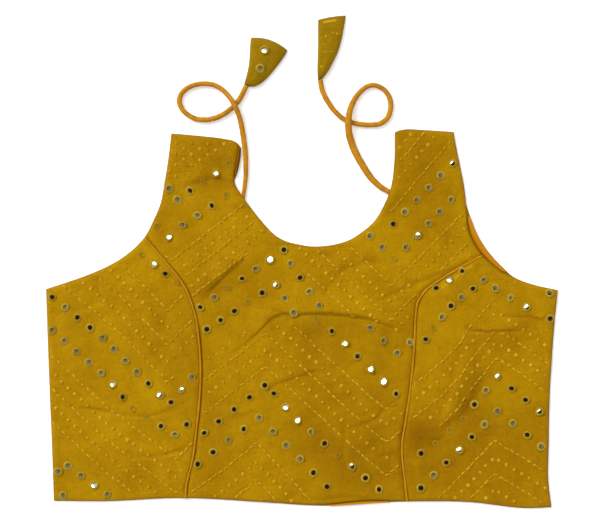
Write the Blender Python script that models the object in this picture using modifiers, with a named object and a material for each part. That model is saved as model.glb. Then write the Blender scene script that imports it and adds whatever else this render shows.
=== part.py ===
"""A sleeveless mirror work blouse laid flat, front up, with its two neck ties and cloth tassels.

Tables and sizes are in millimetres and become metres where a mesh is made. X runs across the
blouse, Y from the hem to the shoulders, and Z up from the surface that it lies on.
"""

from typing import NamedTuple

import bmesh
import bpy
import numpy as np

MM = 0.001

# Cloth thickness, and the gap that is kept between two pieces
CLOTH = 1.2
FACING = 1.0
GAP = 0.3
FRONT_FLOOR = CLOTH + GAP

# Overall sizes that the outlines below share
UNDERARM_LEFT = 28.3
UNDERARM_RIGHT = 27.5
LEFT_SEAM_TOP = 77.5
RIGHT_SEAM_TOP = 60.5
NECK_BOTTOM = 69.2
NECK_CENTRE = 12.3
BACK_NECK_BOTTOM = 62.0

# Piping in the princess seams
PIPING_RADIUS = 0.9
SEAM_INSET = PIPING_RADIUS + GAP + 0.05
FACING_INSET = 0.5

# Rows and columns of the cloth panels
ROWS_BELOW_CREASE = 16
ROWS_ABOVE_CREASE = 13
STRAP_ROWS = 13
COLUMNS_LEFT = 11
COLUMNS_RIGHT = 10
COLUMNS_SIDE = 11
COLUMNS_BACK = 9
BACK_ROWS_BELOW_UNDERARM = 9
BACK_ROWS_TO_NECK = 6
CREASE_GRADING = 1.6
NECK_GRADING = 1.15
# Steps in which the length along a smooth edge is measured
EDGE_STEPS = 600
ROUTE_STEPS = 1100
CORNER_PASSES = 30
# How far the panels' corners stop short of each other at the top of a seam
TIP_STEP = 2.0

# Neck ties: rolled cloth cord, thinner where it is sewn in
TIE_RADIUS = 2.15
TIE_ROOT_RADIUS = 1.3
TIE_ROOT_LENGTH = 14.0
TIE_ROOT_STRAIGHT = 5.6
TIE_STEP = 7.0
TIE_LIFT = 0.03
HUMP_LENGTH = 13.0
HUMP_CLEARANCE = 0.5
HUMP_HEIGHT = 2 * TIE_RADIUS + HUMP_CLEARANCE
CORD_BEVEL_RESOLUTION = 2

# Edges that run up the blouse. Columns: y, x
LEFT_SIDE = ((-182.0, -237.6), (-129.0, -239.4), (-76.0, -241.5), (-36.0, -243.1), (28.3, -245.3))
RIGHT_SIDE = (
    (-182.0, 239.3),
    (-154.0, 236.2),
    (-120.0, 236.6),
    (-64.0, 238.1),
    (-15.0, 241.4),
    (27.5, 245.3),
)
LEFT_ARMHOLE = (
    (28.3, -245.3),
    (41.2, -207.2),
    (50.5, -185.6),
    (66.8, -161.4),
    (78.8, -150.5),
    (93.7, -142.5),
    (110.0, -135.7),
    (130.0, -131.8),
    (155.0, -127.8),
    (180.0, -124.8),
)
RIGHT_ARMHOLE = (
    (27.5, 245.3),
    (32.3, 223.1),
    (38.5, 206.0),
    (48.6, 193.5),
    (63.0, 180.0),
    (79.3, 169.2),
    (95.6, 162.5),
    (115.8, 155.8),
    (135.0, 151.6),
    (160.0, 147.8),
    (182.0, 145.2),
)
# Columns: y, how far the front's armhole edge draws back from the back's
RIGHT_ARMHOLE_GAP = (
    (27.5, 0.0),
    (36.0, 0.0),
    (40.5, 1.6),
    (45.0, 5.6),
    (52.0, 7.3),
    (79.0, 7.2),
    (90.0, 5.4),
    (99.5, 2.8),
    (110.0, 0.0),
    (182.0, 0.0),
)
LEFT_SEAM = (
    (-176.0, -111.5),
    (-162.0, -111.0),
    (-135.0, -104.8),
    (-97.0, -100.0),
    (-56.0, -97.0),
    (-20.0, -98.7),
    (8.0, -103.4),
    (36.0, -115.6),
    (52.0, -128.6),
    (77.5, -150.6),
    (90.0, -162.0),
)
RIGHT_SEAM = (
    (-180.0, 101.5),
    (-156.0, 98.7),
    (-121.0, 96.0),
    (-95.4, 100.0),
    (-50.0, 105.8),
    (-15.0, 108.4),
    (4.0, 109.2),
    (17.0, 111.6),
    (29.0, 120.8),
    (39.5, 136.0),
    (50.0, 153.6),
    (60.5, 173.0),
    (70.0, 191.0),
)

# Neck edges. Columns: rise above the bottom of the neck, x
FRONT_NECK_LEFT = (
    (0.0, 12.3),
    (1.8, -2.4),
    (4.7, -14.2),
    (10.1, -24.5),
    (20.6, -35.4),
    (35.1, -47.3),
    (48.1, -56.8),
    (61.0, -64.3),
    (66.0, -64.8),
    (78.3, -63.3),
    (97.0, -61.2),
    (112.0, -61.0),
)
FRONT_NECK_RIGHT = (
    (0.0, 12.3),
    (1.1, 26.9),
    (4.7, 41.7),
    (13.0, 56.4),
    (24.5, 69.6),
    (39.3, 78.5),
    (58.4, 85.7),
    (82.1, 88.7),
    (114.0, 89.1),
)
BACK_NECK_LEFT = (
    (0.0, 0.0),
    (2.0, -9.0),
    (5.0, -19.0),
    (11.0, -29.5),
    (22.0, -40.0),
    (37.0, -51.5),
    (50.0, -61.0),
    (61.0, -66.4),
    (69.0, -64.9),
    (82.6, -60.6),
    (92.0, -58.9),
    (120.0, -58.8),
)
BACK_NECK_RIGHT = (
    (0.0, 0.0),
    (1.5, 27.0),
    (5.0, 43.0),
    (12.0, 60.0),
    (24.0, 74.5),
    (40.0, 84.5),
    (52.0, 89.0),
    (72.0, 93.0),
    (90.0, 94.5),
    (121.0, 95.0),
)

# Edges and guides that run across the blouse. Columns: x, y
HEM = (
    (-240.0, -174.6),
    (-190.0, -175.0),
    (-116.0, -172.0),
    (-41.0, -175.6),
    (18.0, -179.4),
    (94.0, -175.6),
    (160.0, -175.8),
    (219.0, -181.6),
    (240.0, -180.6),
)
NECK_ROW = ((-152.0, 78.0), (-60.0, 70.4), (12.3, 69.2), (90.0, 66.0), (176.0, 60.0))
HEM_TURN_CENTRE = 55.0
HEM_TURN_SPREAD = 32.0
HEM_TURN_RISE = 2.8
HEM_FACING_REACH = 28.8
HEM_FACING_STEPS = 8
# Heights between which the other facings show
ARMHOLE_FACING = (45.0, 98.0)
ARMHOLE_FACING_STEPS = 9
STRAP_FACING = (136.0, 163.5)
STRAP_FACING_STEPS = 5
LEFT_SHOULDER = (
    (-126.0, 177.7),
    (-98.0, 175.2),
    (-72.5, 172.0),
    (-65.0, 170.2),
    (-61.0, 167.4),
    (-58.5, 164.4),
)
RIGHT_SHOULDER = ((88.0, 178.0), (92.0, 180.0), (99.0, 181.5), (115.0, 181.0), (146.0, 179.0))

# The bust crease hides a fold of cloth. Columns: x, y, then x and the ridge's height above it
BUST_CREASE = (
    (-160.0, -62.0),
    (-110.0, -50.0),
    (-59.8, -29.2),
    (-41.5, -13.6),
    (-28.8, -1.0),
    (0.8, 3.2),
    (22.0, 3.8),
    (43.0, 1.8),
    (64.0, -1.4),
    (86.5, -9.4),
    (112.0, -20.0),
)
BUST_RIDGE = (
    (-80.0, 0.0),
    (-58.0, 2.4),
    (-32.0, 3.4),
    (0.0, 3.8),
    (45.0, 3.8),
    (72.0, 3.0),
    (92.0, 1.0),
    (104.0, 0.0),
)
BUST_CREST = 4.0
BUST_ABOVE = 17.0
BUST_BELOW = 9.0
LIP_SHARE = 0.25


class Fold(NamedTuple):
    """A straight crease with a ridge on its left, going from its start to its end."""

    start: tuple[float, float]
    end: tuple[float, float]
    height: float
    crest: float
    width: float


FOLDS = {
    "left_strap": Fold((-99.0, 17.0), (-56.0, 57.0), 2.4, 4.0, 11.0),
    "left_bust": Fold((-19.0, 5.0), (-47.0, 11.0), 0.9, 3.0, 7.0),
    "left_panel": Fold((-142.0, -93.5), (-198.0, -88.0), 1.6, 4.0, 12.0),
    "right_panel_low": Fold((221.0, -10.0), (148.0, -9.0), 1.9, 3.5, 10.0),
    "right_panel_high": Fold((240.0, 4.5), (190.0, 3.0), 1.5, 3.5, 8.0),
    "right_armhole": Fold((166.0, 56.0), (118.0, 20.0), 1.6, 4.0, 9.0),
    "right_seam": Fold((153.0, -22.0), (124.0, -118.0), 1.8, 7.0, 16.0),
    "left_seam_low": Fold((-112.0, -127.0), (-140.0, -131.0), 0.9, 3.0, 8.0),
}


class Swell(NamedTuple):
    """A broad low mound where the cut leaves the cloth full."""

    x: float
    y: float
    reach_x: float
    reach_y: float
    height: float


SWELLS = (
    Swell(48.0, 34.0, 42.0, 20.0, 1.3),
    Swell(-72.0, 62.0, 30.0, 26.0, 1.1),
    Swell(-158.0, -12.0, 46.0, 36.0, 1.8),
    Swell(-150.0, -128.0, 50.0, 26.0, 0.9),
    Swell(-30.0, -78.0, 40.0, 40.0, 1.2),
    Swell(58.0, -72.0, 34.0, 44.0, 1.0),
    Swell(176.0, -52.0, 36.0, 34.0, 1.4),
    Swell(118.0, 128.0, 18.0, 34.0, 0.7),
    Swell(-98.0, 134.0, 20.0, 26.0, 0.6),
    # The cloth rides over the sewn-in ends of the ties
    Swell(-56.0, 114.0, 10.0, 10.0, 3.0),
    Swell(86.5, 119.5, 10.0, 10.0, 3.0),
)


class Tassel(NamedTuple):
    """A flat cloth tassel, with its sections from the tie to the wide end.

    Columns of the sections: left x, left y, right x, right y. The wide end bows out by `bow`.
    """

    sections: tuple[tuple[float, float, float, float], ...]
    bow: float
    thickness: float


TASSELS = {
    "latkan_left": Tassel(
        (
            (-55.3, 224.6, -51.0, 222.4),
            (-54.0, 230.0, -44.4, 222.8),
            (-52.2, 236.4, -37.4, 226.8),
            (-50.8, 244.0, -30.0, 234.2),
            (-50.0, 252.5, -22.2, 244.0),
            (-49.6, 261.5, -16.4, 252.2),
            (-48.8, 269.4, -13.8, 257.4),
        ),
        4.0,
        5.2,
    ),
    "latkan_right": Tassel(
        (
            (15.5, 228.6, 19.7, 229.9),
            (14.9, 236.5, 25.2, 236.9),
            (15.0, 244.0, 29.4, 244.6),
            (15.3, 254.0, 34.2, 254.6),
            (15.5, 265.0, 37.6, 265.5),
            (15.5, 276.5, 39.9, 276.5),
            (15.5, 286.6, 42.2, 290.8),
        ),
        0.8,
        5.6,
    ),
}
TASSEL_RIM = 1.6
TASSEL_COLUMNS = 8
TASSEL_ROWS = 10
# A tassel's fullness at its tie and at its wide end, and how fast it fills out from each
TASSEL_NARROW_END = (0.55, 2.2)
TASSEL_WIDE_END = (0.45, 6.0)

# Routes of the ties over the surface, from the neck edge to the tassel. Columns: x, y
LEFT_TIE = (
    (-57.1, 109.6),
    (-56.3, 116.8),
    (-55.0, 125.9),
    (-53.9, 135.9),
    (-53.8, 146.5),
    (-54.0, 157.0),
    (-55.2, 168.0),
    (-57.3, 182.4),
    (-60.3, 195.0),
    (-64.4, 204.3),
    (-69.6, 212.4),
    (-75.9, 219.2),
    (-82.6, 223.4),
    (-91.2, 225.2),
    (-101.5, 224.3),
    (-110.5, 220.4),
    (-116.0, 214.4),
    (-117.3, 207.4),
    (-114.6, 200.8),
    (-108.8, 195.2),
    (-101.5, 191.6),
    (-92.5, 190.7),
    (-82.3, 192.6),
    (-73.0, 197.4),
    (-65.3, 203.6),
    (-59.9, 210.0),
    (-56.3, 216.6),
    (-53.3, 223.2),
)
RIGHT_TIE = (
    (89.2, 117.9),
    (83.6, 121.5),
    (74.6, 127.0),
    (66.0, 135.4),
    (58.8, 146.0),
    (52.4, 157.2),
    (47.6, 169.0),
    (44.9, 180.1),
    (44.6, 190.2),
    (46.2, 200.0),
    (50.4, 210.0),
    (56.4, 218.0),
    (63.2, 222.8),
    (70.0, 223.8),
    (76.6, 221.2),
    (82.2, 215.6),
    (85.0, 208.1),
    (84.8, 199.3),
    (81.6, 191.8),
    (75.6, 187.2),
    (67.2, 185.8),
    (57.6, 186.2),
    (48.6, 187.8),
    (39.8, 191.6),
    (31.8, 198.6),
    (24.3, 209.2),
    (19.4, 219.4),
    (17.7, 228.9),
)
LEFT_CROSSING = (-64.6, 204.6)
RIGHT_CROSSING = (45.0, 189.6)


def smooth(table, at):
    """The second column's value where the first is `at`, on a smooth curve through the rows."""
    key, value = np.array(table, float).T
    at = np.clip(at, key[0], key[-1])
    slope = np.gradient(value, key)
    row = np.clip(np.searchsorted(key, at) - 1, 0, len(key) - 2)
    span = key[row + 1] - key[row]
    t = (at - key[row]) / span
    start = (1 + 2 * t) * (1 - t) ** 2 * value[row] + t * (1 - t) ** 2 * span * slope[row]
    end = t * t * (3 - 2 * t) * value[row + 1] - t * t * (1 - t) * span * slope[row + 1]
    return start + end


def neck_x(table, bottom, y):
    """The neck edge's x at height y. The square root keeps the bottom of the U round."""
    roots = [(rise**0.5, x) for rise, x in table]
    return smooth(roots, np.sqrt(np.maximum(y - bottom, 0.0)))


def left_outline(y):
    """Left edge of the blouse: the side, then the armhole."""
    return np.maximum(smooth(LEFT_SIDE, y), smooth(LEFT_ARMHOLE, y))


def right_outline(y):
    """Right edge of the back: the side, then the armhole."""
    return np.minimum(smooth(RIGHT_SIDE, y), smooth(RIGHT_ARMHOLE, y))


def right_front_outline(y):
    """Right edge of the front, whose armhole draws back from the back's."""
    return right_outline(y) - smooth(RIGHT_ARMHOLE_GAP, y)


def left_seam(y):
    return smooth(LEFT_SEAM, y)


def right_seam(y):
    return smooth(RIGHT_SEAM, y)


def front_neck_left(y):
    return neck_x(FRONT_NECK_LEFT, NECK_BOTTOM, y)


def front_neck_right(y):
    return neck_x(FRONT_NECK_RIGHT, NECK_BOTTOM, y)


def back_neck_left(y):
    return neck_x(BACK_NECK_LEFT, BACK_NECK_BOTTOM, y) - GAP / 2


def back_neck_right(y):
    return neck_x(BACK_NECK_RIGHT, BACK_NECK_BOTTOM, y) + GAP / 2


def hem_back(x):
    return smooth(HEM, x)


def hem_front(x):
    """The front hem, which is turned up a little so that its facing shows."""
    turn = HEM_TURN_RISE * np.exp(-(((x - HEM_TURN_CENTRE) / HEM_TURN_SPREAD) ** 2))
    return smooth(HEM, x) + turn


def crease(x):
    return smooth(BUST_CREASE, x)


def neck_row(x):
    return smooth(NECK_ROW, x)


def left_shoulder(x):
    return smooth(LEFT_SHOULDER, x)


def right_shoulder(x):
    return smooth(RIGHT_SHOULDER, x)


def ridge(distance, crest, above):
    """A fold's cross-section: nothing at the crease, 1 at its crest, then a soft fall."""
    rise = np.clip(distance / crest, 0.0, 1.0)
    rise = rise * rise * (3 - 2 * rise)
    fall = np.exp(-((np.maximum(distance - crest, 0.0) / above) ** 2))
    return rise * fall


def lip(distance, below):
    """The cloth that comes out from under a fold swells a little, `below` away from the crease."""
    away = np.maximum(-distance, 0.0) / below
    return away * np.exp(1.0 - away)


def relief(x, y):
    """Height of the front above where it lies flat on the back."""
    distance = y - crease(x)
    height = smooth(BUST_RIDGE, x)
    total = height * (ridge(distance, BUST_CREST, BUST_ABOVE) + LIP_SHARE * lip(distance, BUST_BELOW))
    for fold in FOLDS.values():
        run = np.array(fold.end) - np.array(fold.start)
        length = np.hypot(*run)
        along = ((x - fold.start[0]) * run[0] + (y - fold.start[1]) * run[1]) / length**2
        across = ((y - fold.start[1]) * run[0] - (x - fold.start[0]) * run[1]) / length
        fade = np.clip(4.0 * along * (1.0 - along), 0.0, 1.0)
        total = total + fold.height * fade * ridge(across, fold.crest, fold.width)
    for swell in SWELLS:
        reach = ((x - swell.x) / swell.reach_x) ** 2 + ((y - swell.y) / swell.reach_y) ** 2
        total = total + swell.height * np.exp(-reach)
    return total


def flat(x, _y):
    return 0.0 * x


def corner(edge, guide):
    """The height where an edge that runs up meets a guide that runs across."""
    y = guide(0.0)
    for _ in range(CORNER_PASSES):
        y = 0.5 * (y + guide(edge(y)))
    return y


def up(edge, low, high, count, grading=1.0):
    """Points along an edge between two heights, even along its length.

    A grading above 1 packs them near the low end, and below -1 near the high one.
    """
    y = low + (high - low) * np.linspace(0.0, 1.0, EDGE_STEPS) ** 2
    x = edge(y)
    run = np.concatenate([[0.0], np.cumsum(np.hypot(np.diff(x), np.diff(y)))])
    t = np.linspace(0.0, 1.0, count + 1)
    t = t**grading if grading > 0 else 1.0 - (1.0 - t) ** -grading
    at = np.interp(t * run[-1], run, y)
    return np.stack([edge(at), at], axis=1)


def across(guide, start, end, count):
    """Points along a guide between two points that lie on it."""
    x = np.linspace(start[0], end[0], count + 1)
    points = np.stack([x, guide(x)], axis=1)
    points[0] = start
    points[-1] = end
    return points


def straight(start, end, count):
    return np.linspace(start, end, count + 1)


def beside(points, distance):
    """A polyline moved sideways, to its right where the distance is positive, with even gaps."""
    step = np.diff(points, axis=0)
    step = step / np.hypot(*step.T)[:, None]
    before = np.concatenate([step[:1], step])
    after = np.concatenate([step, step[-1:]])
    normal = np.stack([before[:, 1] + after[:, 1], -before[:, 0] - after[:, 0]], axis=1)
    return points + 2.0 * distance * normal / (normal**2).sum(axis=1)[:, None]


def share(points):
    """How far along a polyline each of its points is, from 0 to 1."""
    run = np.concatenate([[0.0], np.cumsum(np.hypot(*np.diff(points, axis=0).T))])
    return run / run[-1]


def patch(left, right, lower, upper):
    """A grid of points between four edges that meet at their corners."""
    v = (0.5 * (share(left) + share(right)))[:, None, None]
    u = (0.5 * (share(lower) + share(upper)))[None, :, None]
    rows = (1 - v) * lower[None] + v * upper[None]
    columns = (1 - u) * left[:, None] + u * right[:, None]
    corners = (1 - v) * ((1 - u) * lower[0] + u * lower[-1]) + v * ((1 - u) * upper[0] + u * upper[-1])
    return rows + columns - corners


def raised(grid, height, floor):
    """A grid of points with its height above the surface added."""
    x, y = grid[..., 0], grid[..., 1]
    return np.stack([x, y, floor + height(x, y)], axis=-1)


def finish(name, rgb, roughness):
    """A new material of a plain colour."""
    material = bpy.data.materials.new(name)
    material.use_nodes = True
    shader = material.node_tree.nodes["Principled BSDF"]
    shader.inputs["Base Color"].default_value = (*rgb, 1.0)
    shader.inputs["Roughness"].default_value = roughness
    shader.inputs["Metallic"].default_value = 0.0
    return material


def add_object(name, data, material):
    obj = bpy.data.objects.new(name, data)
    obj.data.materials.append(material)
    bpy.data.collections["mirror_work_blouse"].objects.link(obj)
    return obj


def add_grids(mesh, grids):
    """Faces over grids of points, welded where the grids share an edge."""
    for grid in grids:
        corners = [[mesh.verts.new(point * MM) for point in row] for row in grid]
        for lower, upper in zip(corners, corners[1:]):
            for i in range(len(lower) - 1):
                mesh.faces.new((lower[i], lower[i + 1], upper[i + 1], upper[i]))
    bmesh.ops.remove_doubles(mesh, verts=mesh.verts, dist=1e-6)


def cloth_panel(name, grids, thickness, material):
    """A cloth wall: the underside's surface, thickened upwards."""
    mesh = bmesh.new()
    add_grids(mesh, grids)
    data = bpy.data.meshes.new(name)
    mesh.to_mesh(data)
    mesh.free()
    data.shade_smooth()
    panel = add_object(name, data, material)
    wall = panel.modifiers.new("Cloth thickness", "SOLIDIFY")
    wall.thickness = thickness * MM
    wall.offset = 1.0
    return panel


def spread(points, step):
    """Points an even step apart on a smooth curve through a route's own, with the length to each."""
    points = np.array(points, float)
    run = np.concatenate([[0.0], np.cumsum(np.hypot(*np.diff(points, axis=0).T))])
    fine = np.linspace(0.0, run[-1], ROUTE_STEPS)
    path = [smooth(np.stack([run, values], axis=1), fine) for values in points.T]
    path = np.stack(path, axis=1)
    run = np.concatenate([[0.0], np.cumsum(np.hypot(*np.diff(path, axis=0).T))])
    at = np.linspace(0.0, run[-1], round(run[-1] / step) + 1)
    return np.stack([np.interp(at, run, path[:, 0]), np.interp(at, run, path[:, 1])], axis=1), at


def cord(name, points, radius, factors, material):
    """A round cord along points, as a curve whose radius is scaled at each point."""
    data = bpy.data.curves.new(name, "CURVE")
    data.dimensions = "3D"
    data.bevel_depth = radius * MM
    data.bevel_resolution = CORD_BEVEL_RESOLUTION
    data.use_fill_caps = True
    spline = data.splines.new("POLY")
    spline.points.add(len(points) - 1)
    for knot, point, factor in zip(spline.points, points, factors):
        knot.co = (*(np.array(point) * MM), 1.0)
        knot.radius = factor
    spline.use_smooth = True
    return add_object(name, data, material)


def piping(name, seam, material):
    """The piping that stands between two panels, along the points of their seam."""
    x, y = seam.T
    z = FRONT_FLOOR + PIPING_RADIUS + relief(x, y)
    return cord(name, np.stack([x, y, z], axis=1), PIPING_RADIUS, np.ones(len(y)), material)


def tie(name, route, crossing, material):
    """A neck tie lying on the surface. Its first pass humps over its second at the crossing."""
    points, run = spread(route, TIE_STEP)
    root = np.clip((run - TIE_ROOT_STRAIGHT) / TIE_ROOT_LENGTH, 0.0, 1.0)
    factors = (TIE_ROOT_RADIUS + (TIE_RADIUS - TIE_ROOT_RADIUS) * root) / TIE_RADIUS
    away = np.hypot(*(points - np.array(crossing)).T)
    first_pass = run < run[-1] / 2
    hump = HUMP_HEIGHT * np.exp(-((away / HUMP_LENGTH) ** 2)) * first_pass
    z = TIE_RADIUS * factors + TIE_LIFT + hump
    return cord(name, np.column_stack([points, z]), TIE_RADIUS, factors, material)


def tassel(name, shape, material):
    """A cloth tassel: a flat underside and a domed top, lofted over its sections."""
    sections = np.array(shape.sections)
    knots = np.linspace(0.0, 1.0, len(sections))
    mesh = bmesh.new()
    top = []
    for v in np.linspace(0.0, 1.0, TASSEL_ROWS + 1):
        left_x, left_y, right_x, right_y = (
            smooth(np.stack([knots, sections[:, column]], axis=1), v) for column in range(4)
        )
        out = np.array([left_y - right_y, right_x - left_x])
        out = out / np.hypot(*out)
        from_tie = min(1.0, TASSEL_NARROW_END[0] + TASSEL_NARROW_END[1] * v)
        from_end = min(1.0, TASSEL_WIDE_END[0] + TASSEL_WIDE_END[1] * (1.0 - v))
        height = (shape.thickness - TASSEL_RIM) * from_tie * from_end
        row = []
        for u in np.linspace(0.0, 1.0, TASSEL_COLUMNS + 1):
            side = (2.0 * u - 1.0) ** 2
            bow = shape.bow * (1.0 - side) * v**3
            x = left_x + (right_x - left_x) * u + out[0] * bow
            y = left_y + (right_y - left_y) * u + out[1] * bow
            row.append(np.array([x, y, TASSEL_RIM + height * (1.0 - side**2) ** 0.5]))
        top.append(row)
    upper = [[mesh.verts.new(point * MM) for point in row] for row in top]
    lower = [[mesh.verts.new(point * (MM, MM, 0.0)) for point in row] for row in top]
    for skin in (upper, lower):
        for near, far in zip(skin, skin[1:]):
            for i in range(TASSEL_COLUMNS):
                mesh.faces.new((near[i], near[i + 1], far[i + 1], far[i]))
    rims = [upper[0], upper[-1], [row[0] for row in upper], [row[-1] for row in upper]]
    feet = [lower[0], lower[-1], [row[0] for row in lower], [row[-1] for row in lower]]
    for rim, foot in zip(rims, feet):
        for i in range(len(rim) - 1):
            mesh.faces.new((rim[i], rim[i + 1], foot[i + 1], foot[i]))
    bmesh.ops.recalc_face_normals(mesh, faces=mesh.faces)
    data = bpy.data.meshes.new(name)
    mesh.to_mesh(data)
    mesh.free()
    data.shade_smooth()
    return add_object(name, data, material)


def seam_points(seam, top):
    """A princess seam's points from the hem to the armhole, close together at the bust crease."""
    bottom = corner(seam, hem_front)
    middle = corner(seam, crease)
    below = up(seam, bottom, middle, ROWS_BELOW_CREASE, -CREASE_GRADING)
    above = up(seam, middle, top, ROWS_ABOVE_CREASE, NECK_GRADING)
    return np.concatenate([below, above[1:]])


def front_centre(left_line, right_line, material):
    """Front centre with both straps: two patches below the neck, and one for each strap."""
    left = beside(left_line, SEAM_INSET)
    right = beside(right_line, -SEAM_INSET)
    knee = ROWS_BELOW_CREASE

    def split_row(guide, start, end):
        middle = (NECK_CENTRE, guide(NECK_CENTRE))
        first = across(guide, start, middle, COLUMNS_LEFT)
        return np.concatenate([first, across(guide, middle, end, COLUMNS_RIGHT)[1:]])

    def strap_edge(outline, seam, shoulder):
        edge = up(outline, seam[-1][1] + TIP_STEP, corner(outline, shoulder), STRAP_ROWS - 1)
        return np.concatenate([seam[-1:], edge])

    hem = split_row(hem_front, left[0], right[0])
    bust = split_row(crease, left[knee], right[knee])
    top = split_row(neck_row, left[-1], right[-1])
    armhole = strap_edge(left_outline, left, left_shoulder)
    neckline = up(front_neck_left, NECK_BOTTOM, corner(front_neck_left, left_shoulder), STRAP_ROWS)
    shoulder = across(left_shoulder, armhole[-1], neckline[-1], COLUMNS_LEFT)
    left_strap = patch(armhole, neckline, top[: COLUMNS_LEFT + 1], shoulder)
    armhole = strap_edge(right_front_outline, right, right_shoulder)
    neckline = up(front_neck_right, NECK_BOTTOM, corner(front_neck_right, right_shoulder), STRAP_ROWS)
    shoulder = across(right_shoulder, neckline[-1], armhole[-1], COLUMNS_RIGHT)
    right_strap = patch(neckline, armhole, top[COLUMNS_LEFT:], shoulder)
    body = (
        patch(left[: knee + 1], right[: knee + 1], hem, bust),
        patch(left[knee:], right[knee:], bust, top),
    )
    grids = [raised(grid, relief, FRONT_FLOOR) for grid in (*body, left_strap, right_strap)]
    return cloth_panel("front_centre", grids, CLOTH, material)


def front_side(name, outline, underarm, line, side, material):
    """A front side panel. `side` is -1 on the left of its seam's line and 1 on the right."""
    seam = beside(line, side * SEAM_INSET)
    knee = int(np.argmin(abs(seam[:, 1] - underarm)))
    hem_corner = corner(outline, hem_front)
    edge = up(outline, hem_corner, underarm, knee)
    armhole = up(outline, underarm, seam[-1][1] - TIP_STEP, len(seam) - 1 - knee)
    hem = across(hem_front, edge[0], seam[0], COLUMNS_SIDE)
    middle = straight(edge[-1], seam[knee], COLUMNS_SIDE)
    top = straight(armhole[-1], seam[-1], COLUMNS_SIDE)
    grids = [patch(edge, seam[: knee + 1], hem, middle), patch(armhole, seam[knee:], middle, top)]
    if side > 0:
        grids = [grid[:, ::-1] for grid in grids]
    return cloth_panel(name, [raised(grid, relief, FRONT_FLOOR) for grid in grids], CLOTH, material)


def back_half(name, outline, underarm, neckline, shoulder, side, material):
    """One half of the back, flat on the surface and butted to the other at the centre."""
    centre = side * GAP / 2
    foot = corner(outline, hem_back)
    edges = (
        (up(outline, foot, underarm, BACK_ROWS_BELOW_UNDERARM), underarm),
        (up(outline, underarm, BACK_NECK_BOTTOM, BACK_ROWS_TO_NECK), BACK_NECK_BOTTOM),
        (up(outline, BACK_NECK_BOTTOM, corner(outline, shoulder), STRAP_ROWS), None),
    )
    lower = across(hem_back, edges[0][0][0], (centre, hem_back(centre)), COLUMNS_BACK)
    grids = []
    for edge, height in edges:
        if height is None:
            inner = up(neckline, BACK_NECK_BOTTOM, corner(neckline, shoulder), len(edge) - 1)
            upper = across(shoulder, edge[-1], inner[-1], COLUMNS_BACK)
        else:
            inner = straight(lower[-1], (centre, height), len(edge) - 1)
            upper = straight(edge[-1], inner[-1], COLUMNS_BACK)
        grid = patch(edge, inner, lower, upper)
        grids.append(grid[:, ::-1] if side > 0 else grid)
        lower = upper
    return cloth_panel(name, [raised(grid, flat, 0.0) for grid in grids], CLOTH, material)


def strip(name, inner, outer, material):
    """A narrow strip of facing on the back's inner side, between two edges."""
    grid = patch(inner, outer, straight(inner[0], outer[0], 2), straight(inner[-1], outer[-1], 2))
    return cloth_panel(name, [raised(grid, flat, FRONT_FLOOR)], FACING, material)


def facings(material):
    """The strips of facing that show past the front's edges."""
    inner = up(right_front_outline, *ARMHOLE_FACING, ARMHOLE_FACING_STEPS)
    outer = up(right_outline, *ARMHOLE_FACING, ARMHOLE_FACING_STEPS)
    strip("armhole_facing", beside(inner, FACING_INSET), beside(outer, -GAP), material)
    inner = up(front_neck_left, *STRAP_FACING, STRAP_FACING_STEPS)
    outer = up(back_neck_left, *STRAP_FACING, STRAP_FACING_STEPS)
    strip("strap_facing", beside(inner, FACING_INSET), outer, material)
    x = HEM_TURN_CENTRE + np.linspace(-HEM_FACING_REACH, HEM_FACING_REACH, HEM_FACING_STEPS + 1)
    upper = np.stack([x, hem_front(x) - FACING_INSET], axis=1)
    lower = np.stack([x, hem_back(x) + GAP / 2], axis=1)
    strip("hem_facing", upper, lower, material)


def clear_scene():
    for obj in list(bpy.data.objects):
        bpy.data.objects.remove(obj, do_unlink=True)


def main():
    clear_scene()
    collection = bpy.data.collections.new("mirror_work_blouse")
    bpy.context.scene.collection.children.link(collection)
    left_line = seam_points(left_seam, LEFT_SEAM_TOP)
    right_line = seam_points(right_seam, RIGHT_SEAM_TOP)
    front_centre(left_line, right_line, finish("embroidered cloth, centre", (0.46, 0.23, 0.006), 0.62))
    side_cloth = finish("embroidered cloth, sides", (0.48, 0.245, 0.007), 0.62)
    front_side("front_side_left", left_outline, UNDERARM_LEFT, left_line, -1, side_cloth)
    front_side("front_side_right", right_front_outline, UNDERARM_RIGHT, right_line, 1, side_cloth)
    back_cloth = finish("plain cloth, back", (0.42, 0.21, 0.006), 0.68)
    back_half("back_left", left_outline, UNDERARM_LEFT, back_neck_left, left_shoulder, -1, back_cloth)
    back_half("back_right", right_outline, UNDERARM_RIGHT, back_neck_right, right_shoulder, 1, back_cloth)
    facings(finish("orange facing", (0.62, 0.22, 0.01), 0.6))
    edging = finish("piping", (0.55, 0.24, 0.01), 0.5)
    piping("piping_left", left_line, edging)
    piping("piping_right", right_line, edging)
    rolled = finish("rolled cloth tie", (0.72, 0.33, 0.02), 0.5)
    tie("dori_left", LEFT_TIE, LEFT_CROSSING, rolled)
    tie("dori_right", RIGHT_TIE, RIGHT_CROSSING, rolled)
    tassel_cloth = finish("tassel cloth", (0.40, 0.20, 0.006), 0.62)
    for name, shape in TASSELS.items():
        tassel(name, shape, tassel_cloth)


main()
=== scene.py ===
"""The looks of a mirror work blouse that lies flat, front up, with two neck ties and tassels.

Sizes are in millimetres and become metres where a mesh is made. X runs across the blouse, Y from
the hem to the shoulders, and Z up from the surface that it lies on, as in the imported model.
"""

import logging
import math
from dataclasses import dataclass, field
from enum import Enum
from typing import Any, Callable, Optional, Sequence

import bmesh
import bpy
import numpy as np
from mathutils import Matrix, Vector
from mathutils.bvhtree import BVHTree

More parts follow.
